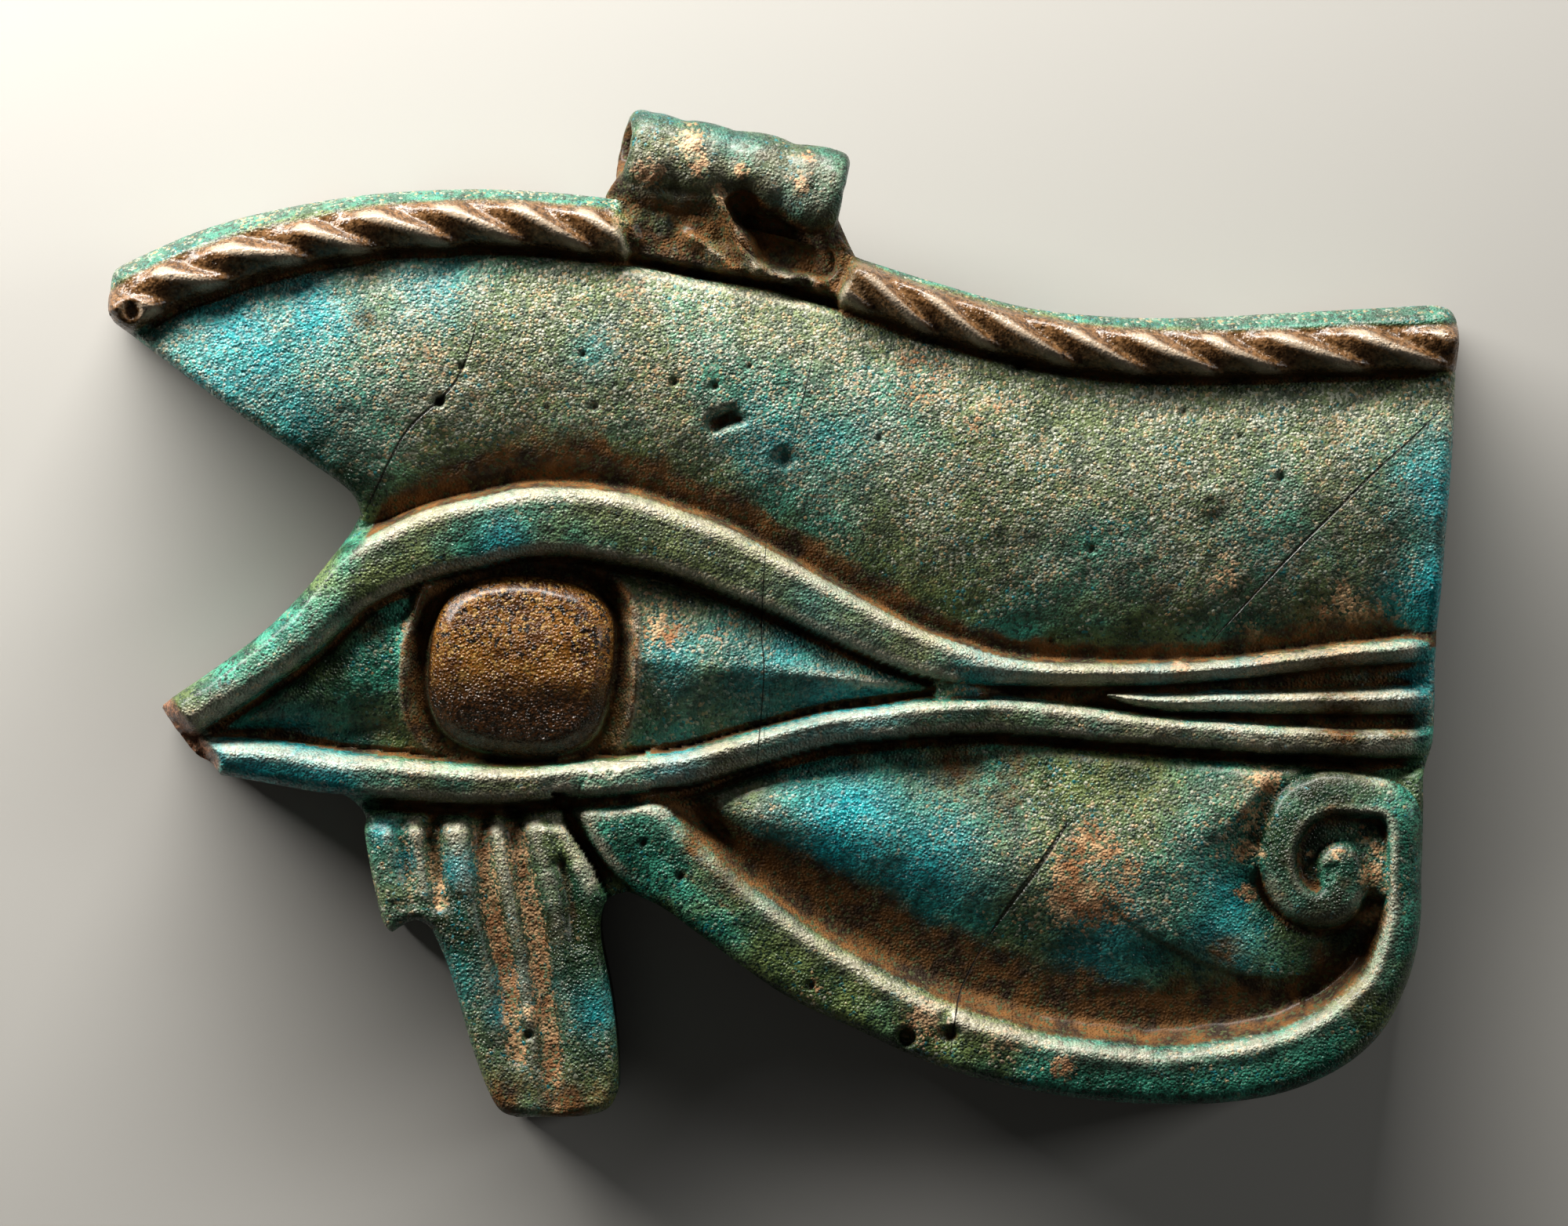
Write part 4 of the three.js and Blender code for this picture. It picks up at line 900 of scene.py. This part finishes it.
# Dark green glaze, partly painted shade, and a darker tone on the rim
deep = np.maximum(blobs(places, DARK_GLAZE_AND_SHADE_SPOTS) * (0.7 + 0.4 * breakup), 0.4 * front["rim"])
deep = np.clip(deep, 0, 1)
rub_and_highlight = rub_and_highlight * (1 - 0.8 * deep)
blue = np.clip(blobs(places, BLUE_SPOTS) * (0.5 + 0.9 * patchy(places, 1.4, 33)), 0, 1)
masks = {
    "soil_and_shade": soil_and_shade, "rub_and_highlight": rub_and_highlight, "pale_film_and_painted_light": pale_film_and_painted_light, "sand": sand, "blue": blue, "teal": teal, "deep": deep,
    "broken": front["broken"], "paste": front["dark"], "iris": front["iris"], "ridge": front["ridge"],
}

# One more: how far each place lies from the middle of the nearest crack, in half widths
crack_side = np.full(len(places), FAR)
for points, width in CRACKS:
    d, side, run = along(places, curve(spot(points)))
    open_share = np.sin(np.pi * np.clip(run, 0.02, 0.98)) ** 0.4
    nearer = (d < np.abs(crack_side)) & (run > 0) & (run < 1)
    crack_side[nearer] = (d * side / (width / 2 * PIXEL * np.maximum(open_share, 0.2)))[nearer]
masks["crack"] = np.clip(crack_side, -FAR, FAR)

# Normals of the whole front, so that no seam shows in the shading
point_grid = np.dstack([places.reshape(rows, columns, 2), height])
across = point_grid[1:, 1:] - point_grid[:-1, :-1]
upward = point_grid[1:, :-1] - point_grid[:-1, 1:]
face_normals = np.cross(across, upward) * (cell_label >= 0)[..., None]
summed = np.zeros((rows, columns, 3))
for dy in (0, 1):
    for dx in (0, 1):
        summed[dy:rows - 1 + dy, dx:columns - 1 + dx] += face_normals
summed += np.array([0, 0, 1e-9])
front_normals = unit(summed).reshape(-1, 3)
edge_y, edge_x = np.gradient(as_grid("edge"), GRID)
side_normals = unit(-np.stack([edge_x.ravel(), edge_y.ravel(), np.zeros(rows * columns)], 1))
down_normals = np.tile([0.0, 0.0, -1.0], (rows * columns, 1))

# The back: flat, a little uneven, and rounded where it meets the sides
BACK_ROUND = 0.45
near_edge = np.clip(1 - front["edge"] / BACK_ROUND, 0, 1)
back_height = BACK_ROUND * (1 - np.sqrt(1 - near_edge ** 2))
back_height += 0.03 * (1 + noise(places, 2.6, 41)) + 0.012 * (1 + noise(places, 0.6, 42))
back_y, back_x = np.gradient(back_height.reshape(rows, columns), GRID)
back_normals = unit(np.stack([back_x.ravel(), back_y.ravel(), -np.ones(rows * columns)], 1))


def cell_corners(mask):
    """Grid indices of the four corners of each cell in a mask, anticlockwise."""
    y, x = np.nonzero(mask)
    first = y * columns + x
    return np.stack([first, first + 1, first + columns + 1, first + columns], 1)


def border(mask):
    """Edges round a mask of cells, with the cells on their left."""
    m = np.pad(mask, 1)
    inner = m[1:-1, 1:-1]
    edges = []
    for gone, start, end in ((m[1:-1, 2:], 1, columns + 1), (m[1:-1, :-2], columns, 0),
                             (m[2:, 1:-1], columns + 1, columns), (m[:-2, 1:-1], 0, 1)):
        y, x = np.nonzero(inner & ~gone)
        first = y * columns + x
        edges.append(np.stack([first + start, first + end], 1))
    return np.vstack(edges)


# Down the sides and on the back, the masks settle at these levels
SIDE_LEVELS = {"broken": 0, "rub_and_highlight": 0.1, "sand": 0.1, "blue": 0.15, "deep": 0.3, "teal": 0.5, "soil_and_shade": 0.2}
SIDE_LOW, SIDE_HIGH = 0.7, 2.2
SIDE_LAYER_SHARES = (0.25, 0.5, 0.75)
SIDE_DENT = 0.05


def link(data, name):
    made = bpy.data.objects.new(name, data)
    bpy.context.scene.collection.objects.link(made)
    return made


def write_mask(mesh, key, values):
    mesh.attributes.new(key, "FLOAT", "POINT").data.foreach_set("value", values.astype(np.float32))


class Shell:
    """A closed body built from layers of grid points."""

    def __init__(self):
        self.points, self.faces, self.normals, self.source, self.count = [], [], [], [], 0

    def layer(self, used, z, shift=None):
        """Points over grid places at given heights; returns where each place's point is."""
        where = np.full(rows * columns, -1)
        where[used] = self.count + np.arange(len(used))
        self.count += len(used)
        xy = places[used] if shift is None else places[used] + shift[used]
        self.points.append(np.column_stack([xy, z[used]]))
        self.source.append(used)
        return where

    def add(self, corners, normals):
        self.faces.append(corners)
        self.normals.append(normals)

    def wall(self, edges, low_layer, top_layer):
        a, b = edges.T
        self.add(np.stack([low_layer[a], low_layer[b], top_layer[b], top_layer[a]], 1),
                 side_normals[np.stack([a, b, b, a], 1)])

    def mesh(self, name):
        points = np.vstack(self.points) * MM
        loops = np.concatenate([f.ravel() for f in self.faces])
        sizes = np.concatenate([np.full(len(f), f.shape[1]) for f in self.faces])
        mesh = bpy.data.meshes.new(name)
        mesh.vertices.add(len(points))
        mesh.vertices.foreach_set("co", points.ravel())
        mesh.loops.add(len(loops))
        mesh.loops.foreach_set("vertex_index", loops.astype(np.int32))
        mesh.polygons.add(len(sizes))
        starts = np.concatenate([[0], np.cumsum(sizes)[:-1]])
        mesh.polygons.foreach_set("loop_start", starts.astype(np.int32))
        mesh.polygons.foreach_set("use_smooth", np.ones(len(sizes), bool))
        mesh.update(calc_edges=True)
        source = np.concatenate(self.source)
        settled = smooth(SIDE_HIGH, SIDE_LOW, points[:, 2] / MM)
        for key, values in masks.items():
            shown = values[source]
            write_mask(mesh, key, mixed(shown, SIDE_LEVELS[key], settled) if key in SIDE_LEVELS else shown)
        mesh.normals_split_custom_set(np.vstack([n.reshape(-1, 3) for n in self.normals]))
        return mesh


def shade(hex_colour):
    """A colour given as on a screen, as the shader wants it."""
    parts = [int(hex_colour[i:i + 2], 16) / 255 for i in (0, 2, 4)]
    return tuple(p / 12.92 if p <= 0.04045 else ((p + 0.055) / 1.055) ** 2.4 for p in parts) + (1,)


class Graph:
    """Short ways to add shader nodes."""

    def __init__(self, name):
        self.material = bpy.data.materials.new(name)
        self.material.use_nodes = True
        self.tree = self.material.node_tree
        self.shader = self.tree.nodes["Principled BSDF"]

    def feed(self, node, inputs):
        """Lead other nodes' values or fixed ones in: text is a colour given as on a screen."""
        for key, value in inputs.items():
            if isinstance(value, bpy.types.NodeSocket):
                self.tree.links.new(value, node.inputs[key])
            else:
                node.inputs[key].default_value = shade(value) if isinstance(value, str) else value

    def node(self, kind, inputs=None, **settings):
        made = self.tree.nodes.new(kind)
        for key, value in settings.items():
            setattr(made, key, value)
        self.feed(made, inputs or {})
        return made

    def mask(self, name):
        return self.node("ShaderNodeAttribute", attribute_name=name).outputs["Fac"]

    def noise(self, size_mm, detail, rough, shift):
        spread = self.node("ShaderNodeVectorMath", {0: self.coords, 1: (shift * MM,) * 3}).outputs[0]
        inputs = {"Vector": spread, "Scale": 1 / (size_mm * MM), "Detail": detail, "Roughness": rough}
        return self.node("ShaderNodeTexNoise", inputs).outputs["Fac"]

    def math(self, operation, a, b=0.0, c=0.0, clamp=False):
        inputs = {0: a, 1: b, 2: c}
        return self.node("ShaderNodeMath", inputs, operation=operation, use_clamp=clamp).outputs[0]

    def times(self, a, b, plus=0.0):
        return self.math("MULTIPLY_ADD", a, b, plus)

    def plus(self, a, b):
        return self.math("ADD", a, b)

    def step(self, value, low, high):
        """0 below low, 1 above high and smooth between."""
        inputs = {"Value": value, "From Min": low, "From Max": high}
        return self.node("ShaderNodeMapRange", inputs, interpolation_type="SMOOTHSTEP").outputs[0]

    def blend(self, share, a, b):
        return self.node("ShaderNodeMix", {0: share, 6: a, 7: b}, data_type="RGBA").outputs[2]

    def tones(self, value, low, high, dark, light):
        return self.blend(self.step(value, low, high), dark, light)

    def over(self, below, cover, strength, colour):
        return self.blend(self.times(cover, strength), below, colour)


def glaze(name, tone_shift, coat):
    """Worn faience glaze: mottled turquoise and green, sandy patches, brown in the hollows, with painted
    highlights on crests and crowns and painted shade in dark patches, low in the iris and on the loop.
    """
    g = Graph(name)
    g.coords = g.node("ShaderNodeTexCoord").outputs["Object"]
    soil_and_shade, rub_and_highlight, pale_film_and_painted_light, sand, blue, teal_share = map(g.mask, ("soil_and_shade", "rub_and_highlight", "pale_film_and_painted_light", "sand", "blue", "teal"))
    deep, paste, iris, ridge, broken = map(g.mask, ("deep", "paste", "iris", "ridge", "broken"))

    patches = g.noise(5.5, 3, 0.6, tone_shift)
    clusters = g.noise(2.2, 3, 0.6, 23)
    mottle = g.noise(1.1, 4, 0.65, 7)
    grain = g.noise(0.2, 2, 0.6, 3)
    fine = g.noise(0.09, 2, 0.6, 11)
    grains = g.node("ShaderNodeTexVoronoi", {"Vector": g.coords, "Scale": 1 / (0.12 * MM)})
    tone = g.node("ShaderNodeSeparateColor", {"Color": grains.outputs["Color"]})
    one, two = tone.outputs[0], tone.outputs[1]

    # Green and teal ground with pools of blue, dark and pale grains
    green = g.tones(mottle, 0.36, 0.62, "2f4324", "60703f")
    teal = g.tones(mottle, 0.38, 0.62, "125040", "3a8a72")
    ground = g.blend(g.step(g.times(teal_share, 0.3, patches), 0.5, 0.7), green, teal)
    pool = g.tones(grain, 0.36, 0.64, "066470", "1fa4aa")
    ground = g.over(ground, blue, 0.9, pool)

    few = g.step(g.times(clusters, 0.6, g.math("SUBTRACT", one, 0.3)), 0.3, 0.1)
    ground = g.over(ground, few, 0.85, "0f241e")
    # More pale grains where rubbed, sandy or under the pale film, so partly painted light
    paling_with_light = g.times(pale_film_and_painted_light, 0.4, g.times(rub_and_highlight, 0.22, g.times(sand, 0.3)))
    bright = g.step(g.times(clusters, 0.7, g.plus(one, paling_with_light)), 1.28, 1.46)
    pale = g.tones(two, 0.5, 0.7, "acae9e", "b8976c")
    ground = g.over(ground, bright, 0.75, pale)
    # Pale film over the crowns, partly painted light
    ground = g.over(ground, pale_film_and_painted_light, 0.3, "8f9684")
    ground = g.over(ground, blue, 0.9, pool)
    # Dark green where the deep mask is: partly glaze colour, partly painted shade
    under = g.tones(mottle, 0.4, 0.6, "101a07", "062519")
    ground = g.blend(g.times(deep, g.times(one, -0.2, 1.0)), ground, under)
    spots = g.times(g.step(two, 0.9, 0.96), g.step(clusters, 0.45, 0.6))
    ground = g.over(ground, spots, 0.7, "0e7078")

    # Sandy body where the glaze is gone, paler where it's rubbed, which on crests is also a painted
    # highlight
    bare = g.tones(mottle, 0.4, 0.6, "895e3a", "bb9870")
    cover = g.step(g.times(one, 0.5, sand), 0.7, 1.05)
    ground = g.blend(cover, ground, g.blend(g.step(two, 0.7, 0.9), bare, "5f6f50"))
    ground = g.over(ground, rub_and_highlight, 0.55, "bab09c")

    # Brown in the hollows and low on the sides, and the brown core at the break; on the loop and its foot
    # the same brown is also painted shade
    soil = g.tones(mottle, 0.36, 0.64, "221403", "68441b")
    soil = g.blend(g.step(one, 0.75, 0.9), soil, "3f4426")
    height = g.node("ShaderNodeSeparateXYZ", {"Vector": g.coords}).outputs[2]
    low_down = g.times(g.step(height, BED * MM, 0.3 * BED * MM), g.step(clusters, 0.3, 0.65))
    shown = g.times(low_down, 0.45, g.times(grain, 0.6, g.times(one, 0.25, -0.42)))
    shown = g.step(g.plus(soil_and_shade, shown), 0.12, 0.7)
    ground = g.blend(shown, ground, soil)
    core = g.tones(grain, 0.4, 0.6, "5a3423", "9a6a4c")
    ground = g.blend(g.times(broken, g.step(fine, 0.2, 0.5)), ground, core)

    # The dark paste of the ropes, with pale ridges along the strands that are rubbed and partly painted
    # highlights, and that of the iris
    dark = g.tones(grain, 0.35, 0.65, "38240f", "6e5033")
    rubbed_highlit_ridge = g.times(g.step(ridge, 0.7, 1), g.step(g.plus(fine, rub_and_highlight), 0.45, 0.85))
    dark = g.over(dark, rubbed_highlit_ridge, 0.6, "b0a28e")
    dark = g.over(dark, shown, 0.5, "4a3a1c")
    ground = g.blend(paste, ground, dark)

    brown = g.tones(mottle, 0.4, 0.6, "40240a", "6a4314")
    brown = g.blend(g.step(one, 0.7, 0.9), brown, "806230")
    specks = g.times(iris, 0.8, g.math("SUBTRACT", g.noise(0.22, 2, 0.6, 41), 0.8))
    brown = g.blend(g.step(specks, 0.54, 0.58), brown, "17110a")
    # Darker lower part and edge of the iris: painted shade
    shaded_lower_iris = g.tones(grain, 0.4, 0.6, "170d04", "38200b")
    brown = g.blend(g.step(iris, 0.9, 0.5), brown, shaded_lower_iris)
    ground = g.blend(g.step(iris, 0.1, 0.5), ground, brown)

    # Near-black along the cracks: painted shade of their gaps
    crack = g.step(g.math("ABSOLUTE", g.mask("crack")), 1.4, 0.6)
    ground = g.over(ground, crack, 0.9, "0a0704")

    matt = g.math("MAXIMUM", cover, shown)
    rough = g.times(matt, 0.5, 0.27)
    rough = g.plus(rough, g.times(fine, 0.3, -0.15))
    rough = g.math("SUBTRACT", rough, g.times(g.math("MAXIMUM", blue, paste), 0.14), clamp=True)

    pores = g.node("ShaderNodeTexVoronoi", {"Vector": g.coords, "Scale": 1 / (0.7 * MM)})
    pores = g.step(pores.outputs["Distance"], 0.16, 0.05)
    bump = g.times(grain, 0.05, g.times(fine, 0.035))
    bump = g.times(g.step(grains.outputs["Distance"], 0.7, 0.1), 0.034, bump)
    bump = g.plus(bump, g.times(bright, 0.01))
    bump = g.times(bump, g.times(paste, -0.55, 1))
    bump = g.math("SUBTRACT", bump, g.times(pores, 0.05))
    bump = g.math("SUBTRACT", bump, g.times(crack, 0.1))
    bumped = g.node("ShaderNodeBump", {"Height": bump, "Distance": MM, "Strength": 1.0})
    g.feed(g.shader, {"Base Color": ground, "Roughness": rough, "IOR": 1.45, "Specular IOR Level": 0.3,
                      "Coat Weight": coat, "Coat Roughness": 0.22, "Normal": bumped.outputs["Normal"]})
    return g.material


# Each slot's material, and the pieces whose slot isn't the relief's glaze
LOOKS = {
    "plate_glaze": glaze("plate_glaze", 0, 0.12),
    "relief_glaze": glaze("relief_glaze", 31, 0.16),
    "dark_paste": glaze("dark_paste", 57, 0.24),
}
SLOTS = {"plate": "plate_glaze", "eyeball": "plate_glaze", "iris_inlay": "dark_paste",
         "brow_rope_left": "dark_paste", "brow_rope_right": "dark_paste"}
bed_level = np.full(rows * columns, BED)


def dress(mesh, name, node):
    """A piece of the scene in the place of a solid, with the material of its slot."""
    slot = SLOTS.get(node, "relief_glaze")
    mesh.materials.append(LOOKS[slot])
    piece = link(mesh, name)
    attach(piece, "root")
    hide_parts(node)


def laid_piece(number):
    """A raised piece: its share of the front over a flat seat on the bed."""
    node = LABELS[number]
    mask = cell_label == number
    shell = Shell()
    corners, edges = cell_corners(mask), border(mask)
    top = shell.layer(np.unique(corners), front["z"])
    seat = shell.layer(np.unique(corners), bed_level)
    shell.add(top[corners], front_normals[corners])
    shell.wall(edges, seat, top)
    shell.add(seat[corners[:, ::-1]], down_normals[corners])
    name = node + ("_front" if node == "suspension_loop" else "_piece")
    dress(shell.mesh(name), name, node)


def plate_piece():
    """The plate: its fields, the bed under the laid pieces, the sides and the back."""
    own, whole = cell_label == PLATE, cell_label >= 0
    shell = Shell()
    field, under, back = cell_corners(own), cell_corners(whole & ~own), cell_corners(whole)
    inner, outer = border(own), border(whole)
    top = shell.layer(np.unique(field), front["z"])
    bed = shell.layer(np.unique(np.concatenate([under.ravel(), inner.ravel(), outer.ravel()])), bed_level)
    shell.add(top[field], front_normals[field])
    shell.add(bed[under], -down_normals[under])
    shell.wall(inner, bed, top)
    above = bed
    rim = np.unique(outer)
    for share in SIDE_LAYER_SHARES:
        level = np.full(rows * columns, mixed(BED, BACK_ROUND, share))
        dent = side_normals[:, :2] * -SIDE_DENT * (1 + noise(places + 50 * share, 0.9, 43))[:, None]
        below = shell.layer(rim, level, dent)
        shell.wall(outer, below, above)
        above = below
    back_layer = shell.layer(np.unique(back), back_height)
    shell.wall(outer, back_layer, above)
    shell.add(back_layer[back[:, ::-1]], back_normals[back[:, ::-1]])
    dress(shell.mesh("plate_piece"), "plate_piece", "plate")


for number in range(PLATE):
    laid_piece(number)
plate_piece()


# Suspension loop: a beaded tube with a bore, on a flank that runs down to the plate
TUBE_ENDS_PIXELS = [(797, 189), (1076, 247)]
TUBE_RADIUS = 1.62
TUBE_HEIGHT = top_of("suspension_loop") - TUBE_RADIUS - 0.03
BORE_RADIUS = 0.85
BEAD_SHARES = [0, 0.24, 0.47, 0.74, 1]
BEAD_DEPTH = 0.15
MOUTH_ROUND = 0.22
MOUTH_SLANT = 0.3
FLANK_BOTTOM = 1.0
LOOP_VOXEL = 0.09
LOOP_SMOOTHING = 8

# Rows down the flank, from under the tube to the foot: x and y in pixels, height in millimetres
FLANK_ROWS = [
    [(790, 220, 3.7), (788, 226, 4.1), (781, 237, 4.0), (773, 250, 3.8), (773, 262, 3.7)],
    [(802, 223, 3.7), (803, 238, 4.6), (799, 262, 4.15), (798, 282, 4.05), (806, 304, 3.85)],
    [(844, 231, 3.7), (846, 247, 4.65), (846, 272, 4.15), (850, 295, 4.05), (864, 320, 3.9)],
    [(887, 240, 3.7), (890, 256, 4.65), (894, 280, 4.2), (906, 306, 4.1), (930, 336, 3.95)],
    [(902, 243, 3.7), (907, 252, 4.75), (916, 279, 4.45), (931, 310, 4.15), (948, 342, 4.0)],
    [(908, 245, 3.7), (914, 252, 5.05), (925, 275, 4.95), (940, 306, 4.8), (958, 344, 4.4)],
    [(917, 247, 3.7), (926, 254, 5.05), (938, 276, 4.95), (952, 306, 4.75), (970, 346, 4.35)],
    [(928, 249, 3.6), (940, 258, 3.6), (953, 276, 3.4), (967, 306, 3.4), (984, 348, 3.5)],
    [(979, 260, 3.6), (986, 268, 3.6), (996, 285, 3.4), (1004, 315, 3.4), (1012, 352, 3.6)],
    [(1022, 269, 3.7), (1032, 274, 4.2), (1034, 296, 3.6), (1036, 322, 3.5), (1042, 356, 3.7)],
    [(1040, 273, 3.7), (1050, 280, 4.6), (1052, 302, 4.3), (1056, 326, 4.1), (1064, 360, 3.9)],
    [(1068, 278, 3.8), (1067, 284, 4.2), (1068, 296, 4.05), (1078, 320, 3.95), (1098, 340, 3.85)],
]
# Where the tube swells or is dented: x, y, radius in pixels, millimetres
TUBE_SWELLS = [(1036, 296, 34, 0.3), (830, 250, 40, 0.12)]
TUBE_DENTS = [(948, 266, 24, 0.5)]
FIN_PIXELS = [(918, 246), (932, 276), (946, 306), (964, 346)]
CRUST_SPOTS = [
    (828, 222, 22, 1), (880, 186, 22, 0.9), (893, 212, 18, 0.8), (945, 222, 12, 0.8),
    (1022, 236, 17, 0.9), (1030, 205, 14, 0.5), (876, 160, 14, 0.6), (856, 292, 12, 0.8),
]


def mesh_of(points, faces, name):
    mesh = bpy.data.meshes.new(name)
    mesh.from_pydata([tuple(p) for p in points], [], faces)
    return mesh


def flank():
    """The body under the tube, through its rows, in millimetres."""
    points = []
    for row in FLANK_ROWS:
        x, y = spot([p[:2] for p in row]).T
        points += [(x[0], y[0], FLANK_BOTTOM), *zip(x, y, (p[2] for p in row)), (x[-1], y[-1], FLANK_BOTTOM)]
    count = len(FLANK_ROWS[0]) + 2
    last = len(points) - count
    faces = [tuple(range(count)), tuple(reversed(range(last, last + count)))]
    for first in range(0, last, count):
        for i in range(count):
            j = (i + 1) % count
            faces.append((first + j, first + i, first + count + i, first + count + j))
    return points, faces


def tube_with_bore(start, end):
    """The tube and its bore as one ring-shaped body, in millimetres."""
    sides, steps = 48, 60
    length = np.linalg.norm(end - start)
    forward = (end - start) / length
    left = np.array([-forward[1], forward[0], 0])
    rim = []
    for i in range(steps + 1):
        share = i / steps
        bead = max(1, next(n for n, stop in enumerate(BEAD_SHARES) if stop >= share))
        part = (share - BEAD_SHARES[bead - 1]) / (BEAD_SHARES[bead] - BEAD_SHARES[bead - 1])
        swell = abs(math.sin(math.pi * part)) ** 0.6
        inward = max(0, 1 - min(share, 1 - share) * length / MOUTH_ROUND)
        rim.append((share, TUBE_RADIUS - BEAD_DEPTH * (1 - swell) - MOUTH_ROUND * inward ** 2))
    rim += [(1, BORE_RADIUS + 0.12), (0.97, BORE_RADIUS), (0.03, BORE_RADIUS), (0, BORE_RADIUS + 0.12)]
    points, faces = [], []
    for share, radius in rim:
        lean = MOUTH_SLANT * max(0, 1 - share * 8) / TUBE_RADIUS
        for j in range(sides):
            angle = 2 * math.pi * j / sides
            rise = radius * math.sin(angle)
            centre = start + forward * (length * share + lean * rise)
            points.append(centre + left * radius * math.cos(angle) + np.array([0, 0, rise]))
    for i in range(len(rim)):
        k = (i + 1) % len(rim)
        for j in range(sides):
            following = (j + 1) % sides
            faces.append((i * sides + j, i * sides + following, k * sides + following, k * sides + j))
    return points, faces


def suspension_loop():
    start, end = (np.array([*p, TUBE_HEIGHT]) for p in spot(TUBE_ENDS_PIXELS))
    points, faces = tube_with_bore(start, end)
    more, more_faces = flank()
    faces = faces + [tuple(i + len(points) for i in f) for f in more_faces]
    rough = link(mesh_of(points + more, faces, "loop_rough"), "loop_rough")
    rough.modifiers.new("union", "REMESH").voxel_size = LOOP_VOXEL
    rough.modifiers.new("soften", "SMOOTH").iterations = LOOP_SMOOTHING
    solved = rough.evaluated_get(bpy.context.evaluated_depsgraph_get())
    mesh = bpy.data.meshes.new_from_object(solved)
    bpy.data.objects.remove(rough)
    count = len(mesh.vertices)
    co, normal = np.zeros(count * 3), np.zeros(count * 3)
    mesh.vertices.foreach_get("co", co)
    mesh.vertices.foreach_get("normal", normal)
    co, normal = co.reshape(-1, 3), normal.reshape(-1, 3)
    flat = co[:, :2]
    facing = smooth(-0.2, 0.5, normal[:, 2])
    axis = end - start
    below = (np.cross(axis[:2], flat - start[:2])) / np.linalg.norm(axis[:2])
    under = smooth(0.3, -0.5, below)
    crust = blobs(flat, CRUST_SPOTS) * facing
    lump = 0.04 * noise(flat + co[:, 2:] * 0.7, 1.1, 51)
    lump += 0.025 * noise(flat - co[:, 2:] * 0.8, 0.4, 52)
    lump += crust * (0.06 + 0.09 * noise(flat, 0.28, 53))
    lump += (blobs(flat, TUBE_SWELLS) - blobs(flat, TUBE_DENTS)) * facing
    co += normal * lump[:, None]
    top = top_of("suspension_loop") + 0.04
    co[:, 2] = np.clip(co[:, 2], FLANK_BOTTOM - 0.05, top)
    mesh.vertices.foreach_set("co", (co * MM).ravel())
    mesh.polygons.foreach_set("use_smooth", np.ones(len(mesh.polygons), bool))
    mesh.update()
    from_axis = np.linalg.norm(np.cross(co - start, axis), axis=1) / np.linalg.norm(axis)
    pit_d = distance(flat, POCKET_PIXELS)
    broken_up = patchy(flat, 0.5, 54)
    # Low on the tube's side towards the plate: painted shade under the tube
    low = smooth(5.0, 4.3, co[:, 2]) * under
    fin = smooth(0.45, 0.2, distance(flat, FIN_PIXELS)) * smooth(4.2, 4.5, co[:, 2])
    in_bore = smooth(BORE_RADIUS + 0.3, BORE_RADIUS + 0.1, from_axis)
    values = {
        # Darker in the bore, and painted shade low under the tube and in the pocket
        "soil_and_shade": np.maximum(in_bore, low * (0.4 + 0.6 * broken_up)) + smooth(1.0, 0.6, pit_d) * low,
        # A dark tone over the whole tube, stronger low on its lower side: painted shade
        "deep": np.maximum(0.8, smooth(5.3, 4.7, co[:, 2]) * under) * (0.6 + 0.4 * broken_up),
        "teal": 0.1 + 0.5 * noise(flat, 1.6, 58),
        # Paler on faces that turn up: a painted highlight along with rubbing
        "rub_and_highlight": 0.5 * smooth(0.5, 0.97, normal[:, 2]) * (0.6 + 0.4 * noise(flat, 0.4, 55)),
        "sand": np.maximum(crust * (1.2 + 0.5 * noise(flat, 0.35, 57)), 0.8 * fin),
        "blue": 0.25 * noise(flat, 1.3, 56),
        "crack": np.full(count, FAR),
    }
    for key in masks:
        write_mask(mesh, key, np.clip(values.get(key, np.zeros(count)), 0, FAR))
    mesh.materials.clear()
    dress(mesh, "suspension_loop_tube", "suspension_loop")


suspension_loop()


# Stage, lights and camera, in metres
FLOOR_HALF = 1.5


def floor():
    g = Graph("floor_paper")
    g.feed(g.shader, {"Base Color": "aaa9a5", "Roughness": 0.9})
    corners = [(x * FLOOR_HALF, y * FLOOR_HALF, 0) for x, y in ((-1, -1), (1, -1), (1, 1), (-1, 1))]
    mesh = mesh_of(corners, [(0, 1, 2, 3)], "floor")
    mesh.materials.append(g.material)
    link(mesh, "floor")


def lamp(name, place, size, power, tint=(1, 1, 1)):
    data = bpy.data.lights.new(name, "AREA")
    data.shape = "RECTANGLE"
    data.size, data.size_y = size
    data.energy, data.color = power, tint
    made = link(data, name)
    made.location = place
    made.rotation_euler = (-Vector(place)).to_track_quat("-Z", "Y").to_euler()


floor()
lamp("key", (-0.045, 0.11, 0.042), (0.2, 0.022), 0.86, (1.0, 0.96, 0.91))
lamp("side", (0.36, 0.10, 0.16), (0.1, 0.1), 0.33, (1.0, 1.0, 0.97))
lamp("fill", (-0.1, -0.2, 0.45), (0.4, 0.4), 0.04, (1.0, 0.95, 0.85))

world = bpy.data.worlds.new("studio")
world.use_nodes = True
sky = world.node_tree.nodes["Background"]
sky.inputs["Color"].default_value = (1, 1, 1, 1)
sky.inputs["Strength"].default_value = 0.018
bpy.context.scene.world = world
bpy.context.scene.view_settings.view_transform = "Standard"

camera_data = bpy.data.cameras.new("camera")
camera_data.lens = 160
camera_data.sensor_width = 36
camera_data.clip_start = 0.01
camera = link(camera_data, "camera")
view_width = FRAME_PIXELS[0] * PIXEL * MM
camera.location = (0, 0, view_width * camera_data.lens / camera_data.sensor_width + 4 * MM)
bpy.context.scene.camera = camera
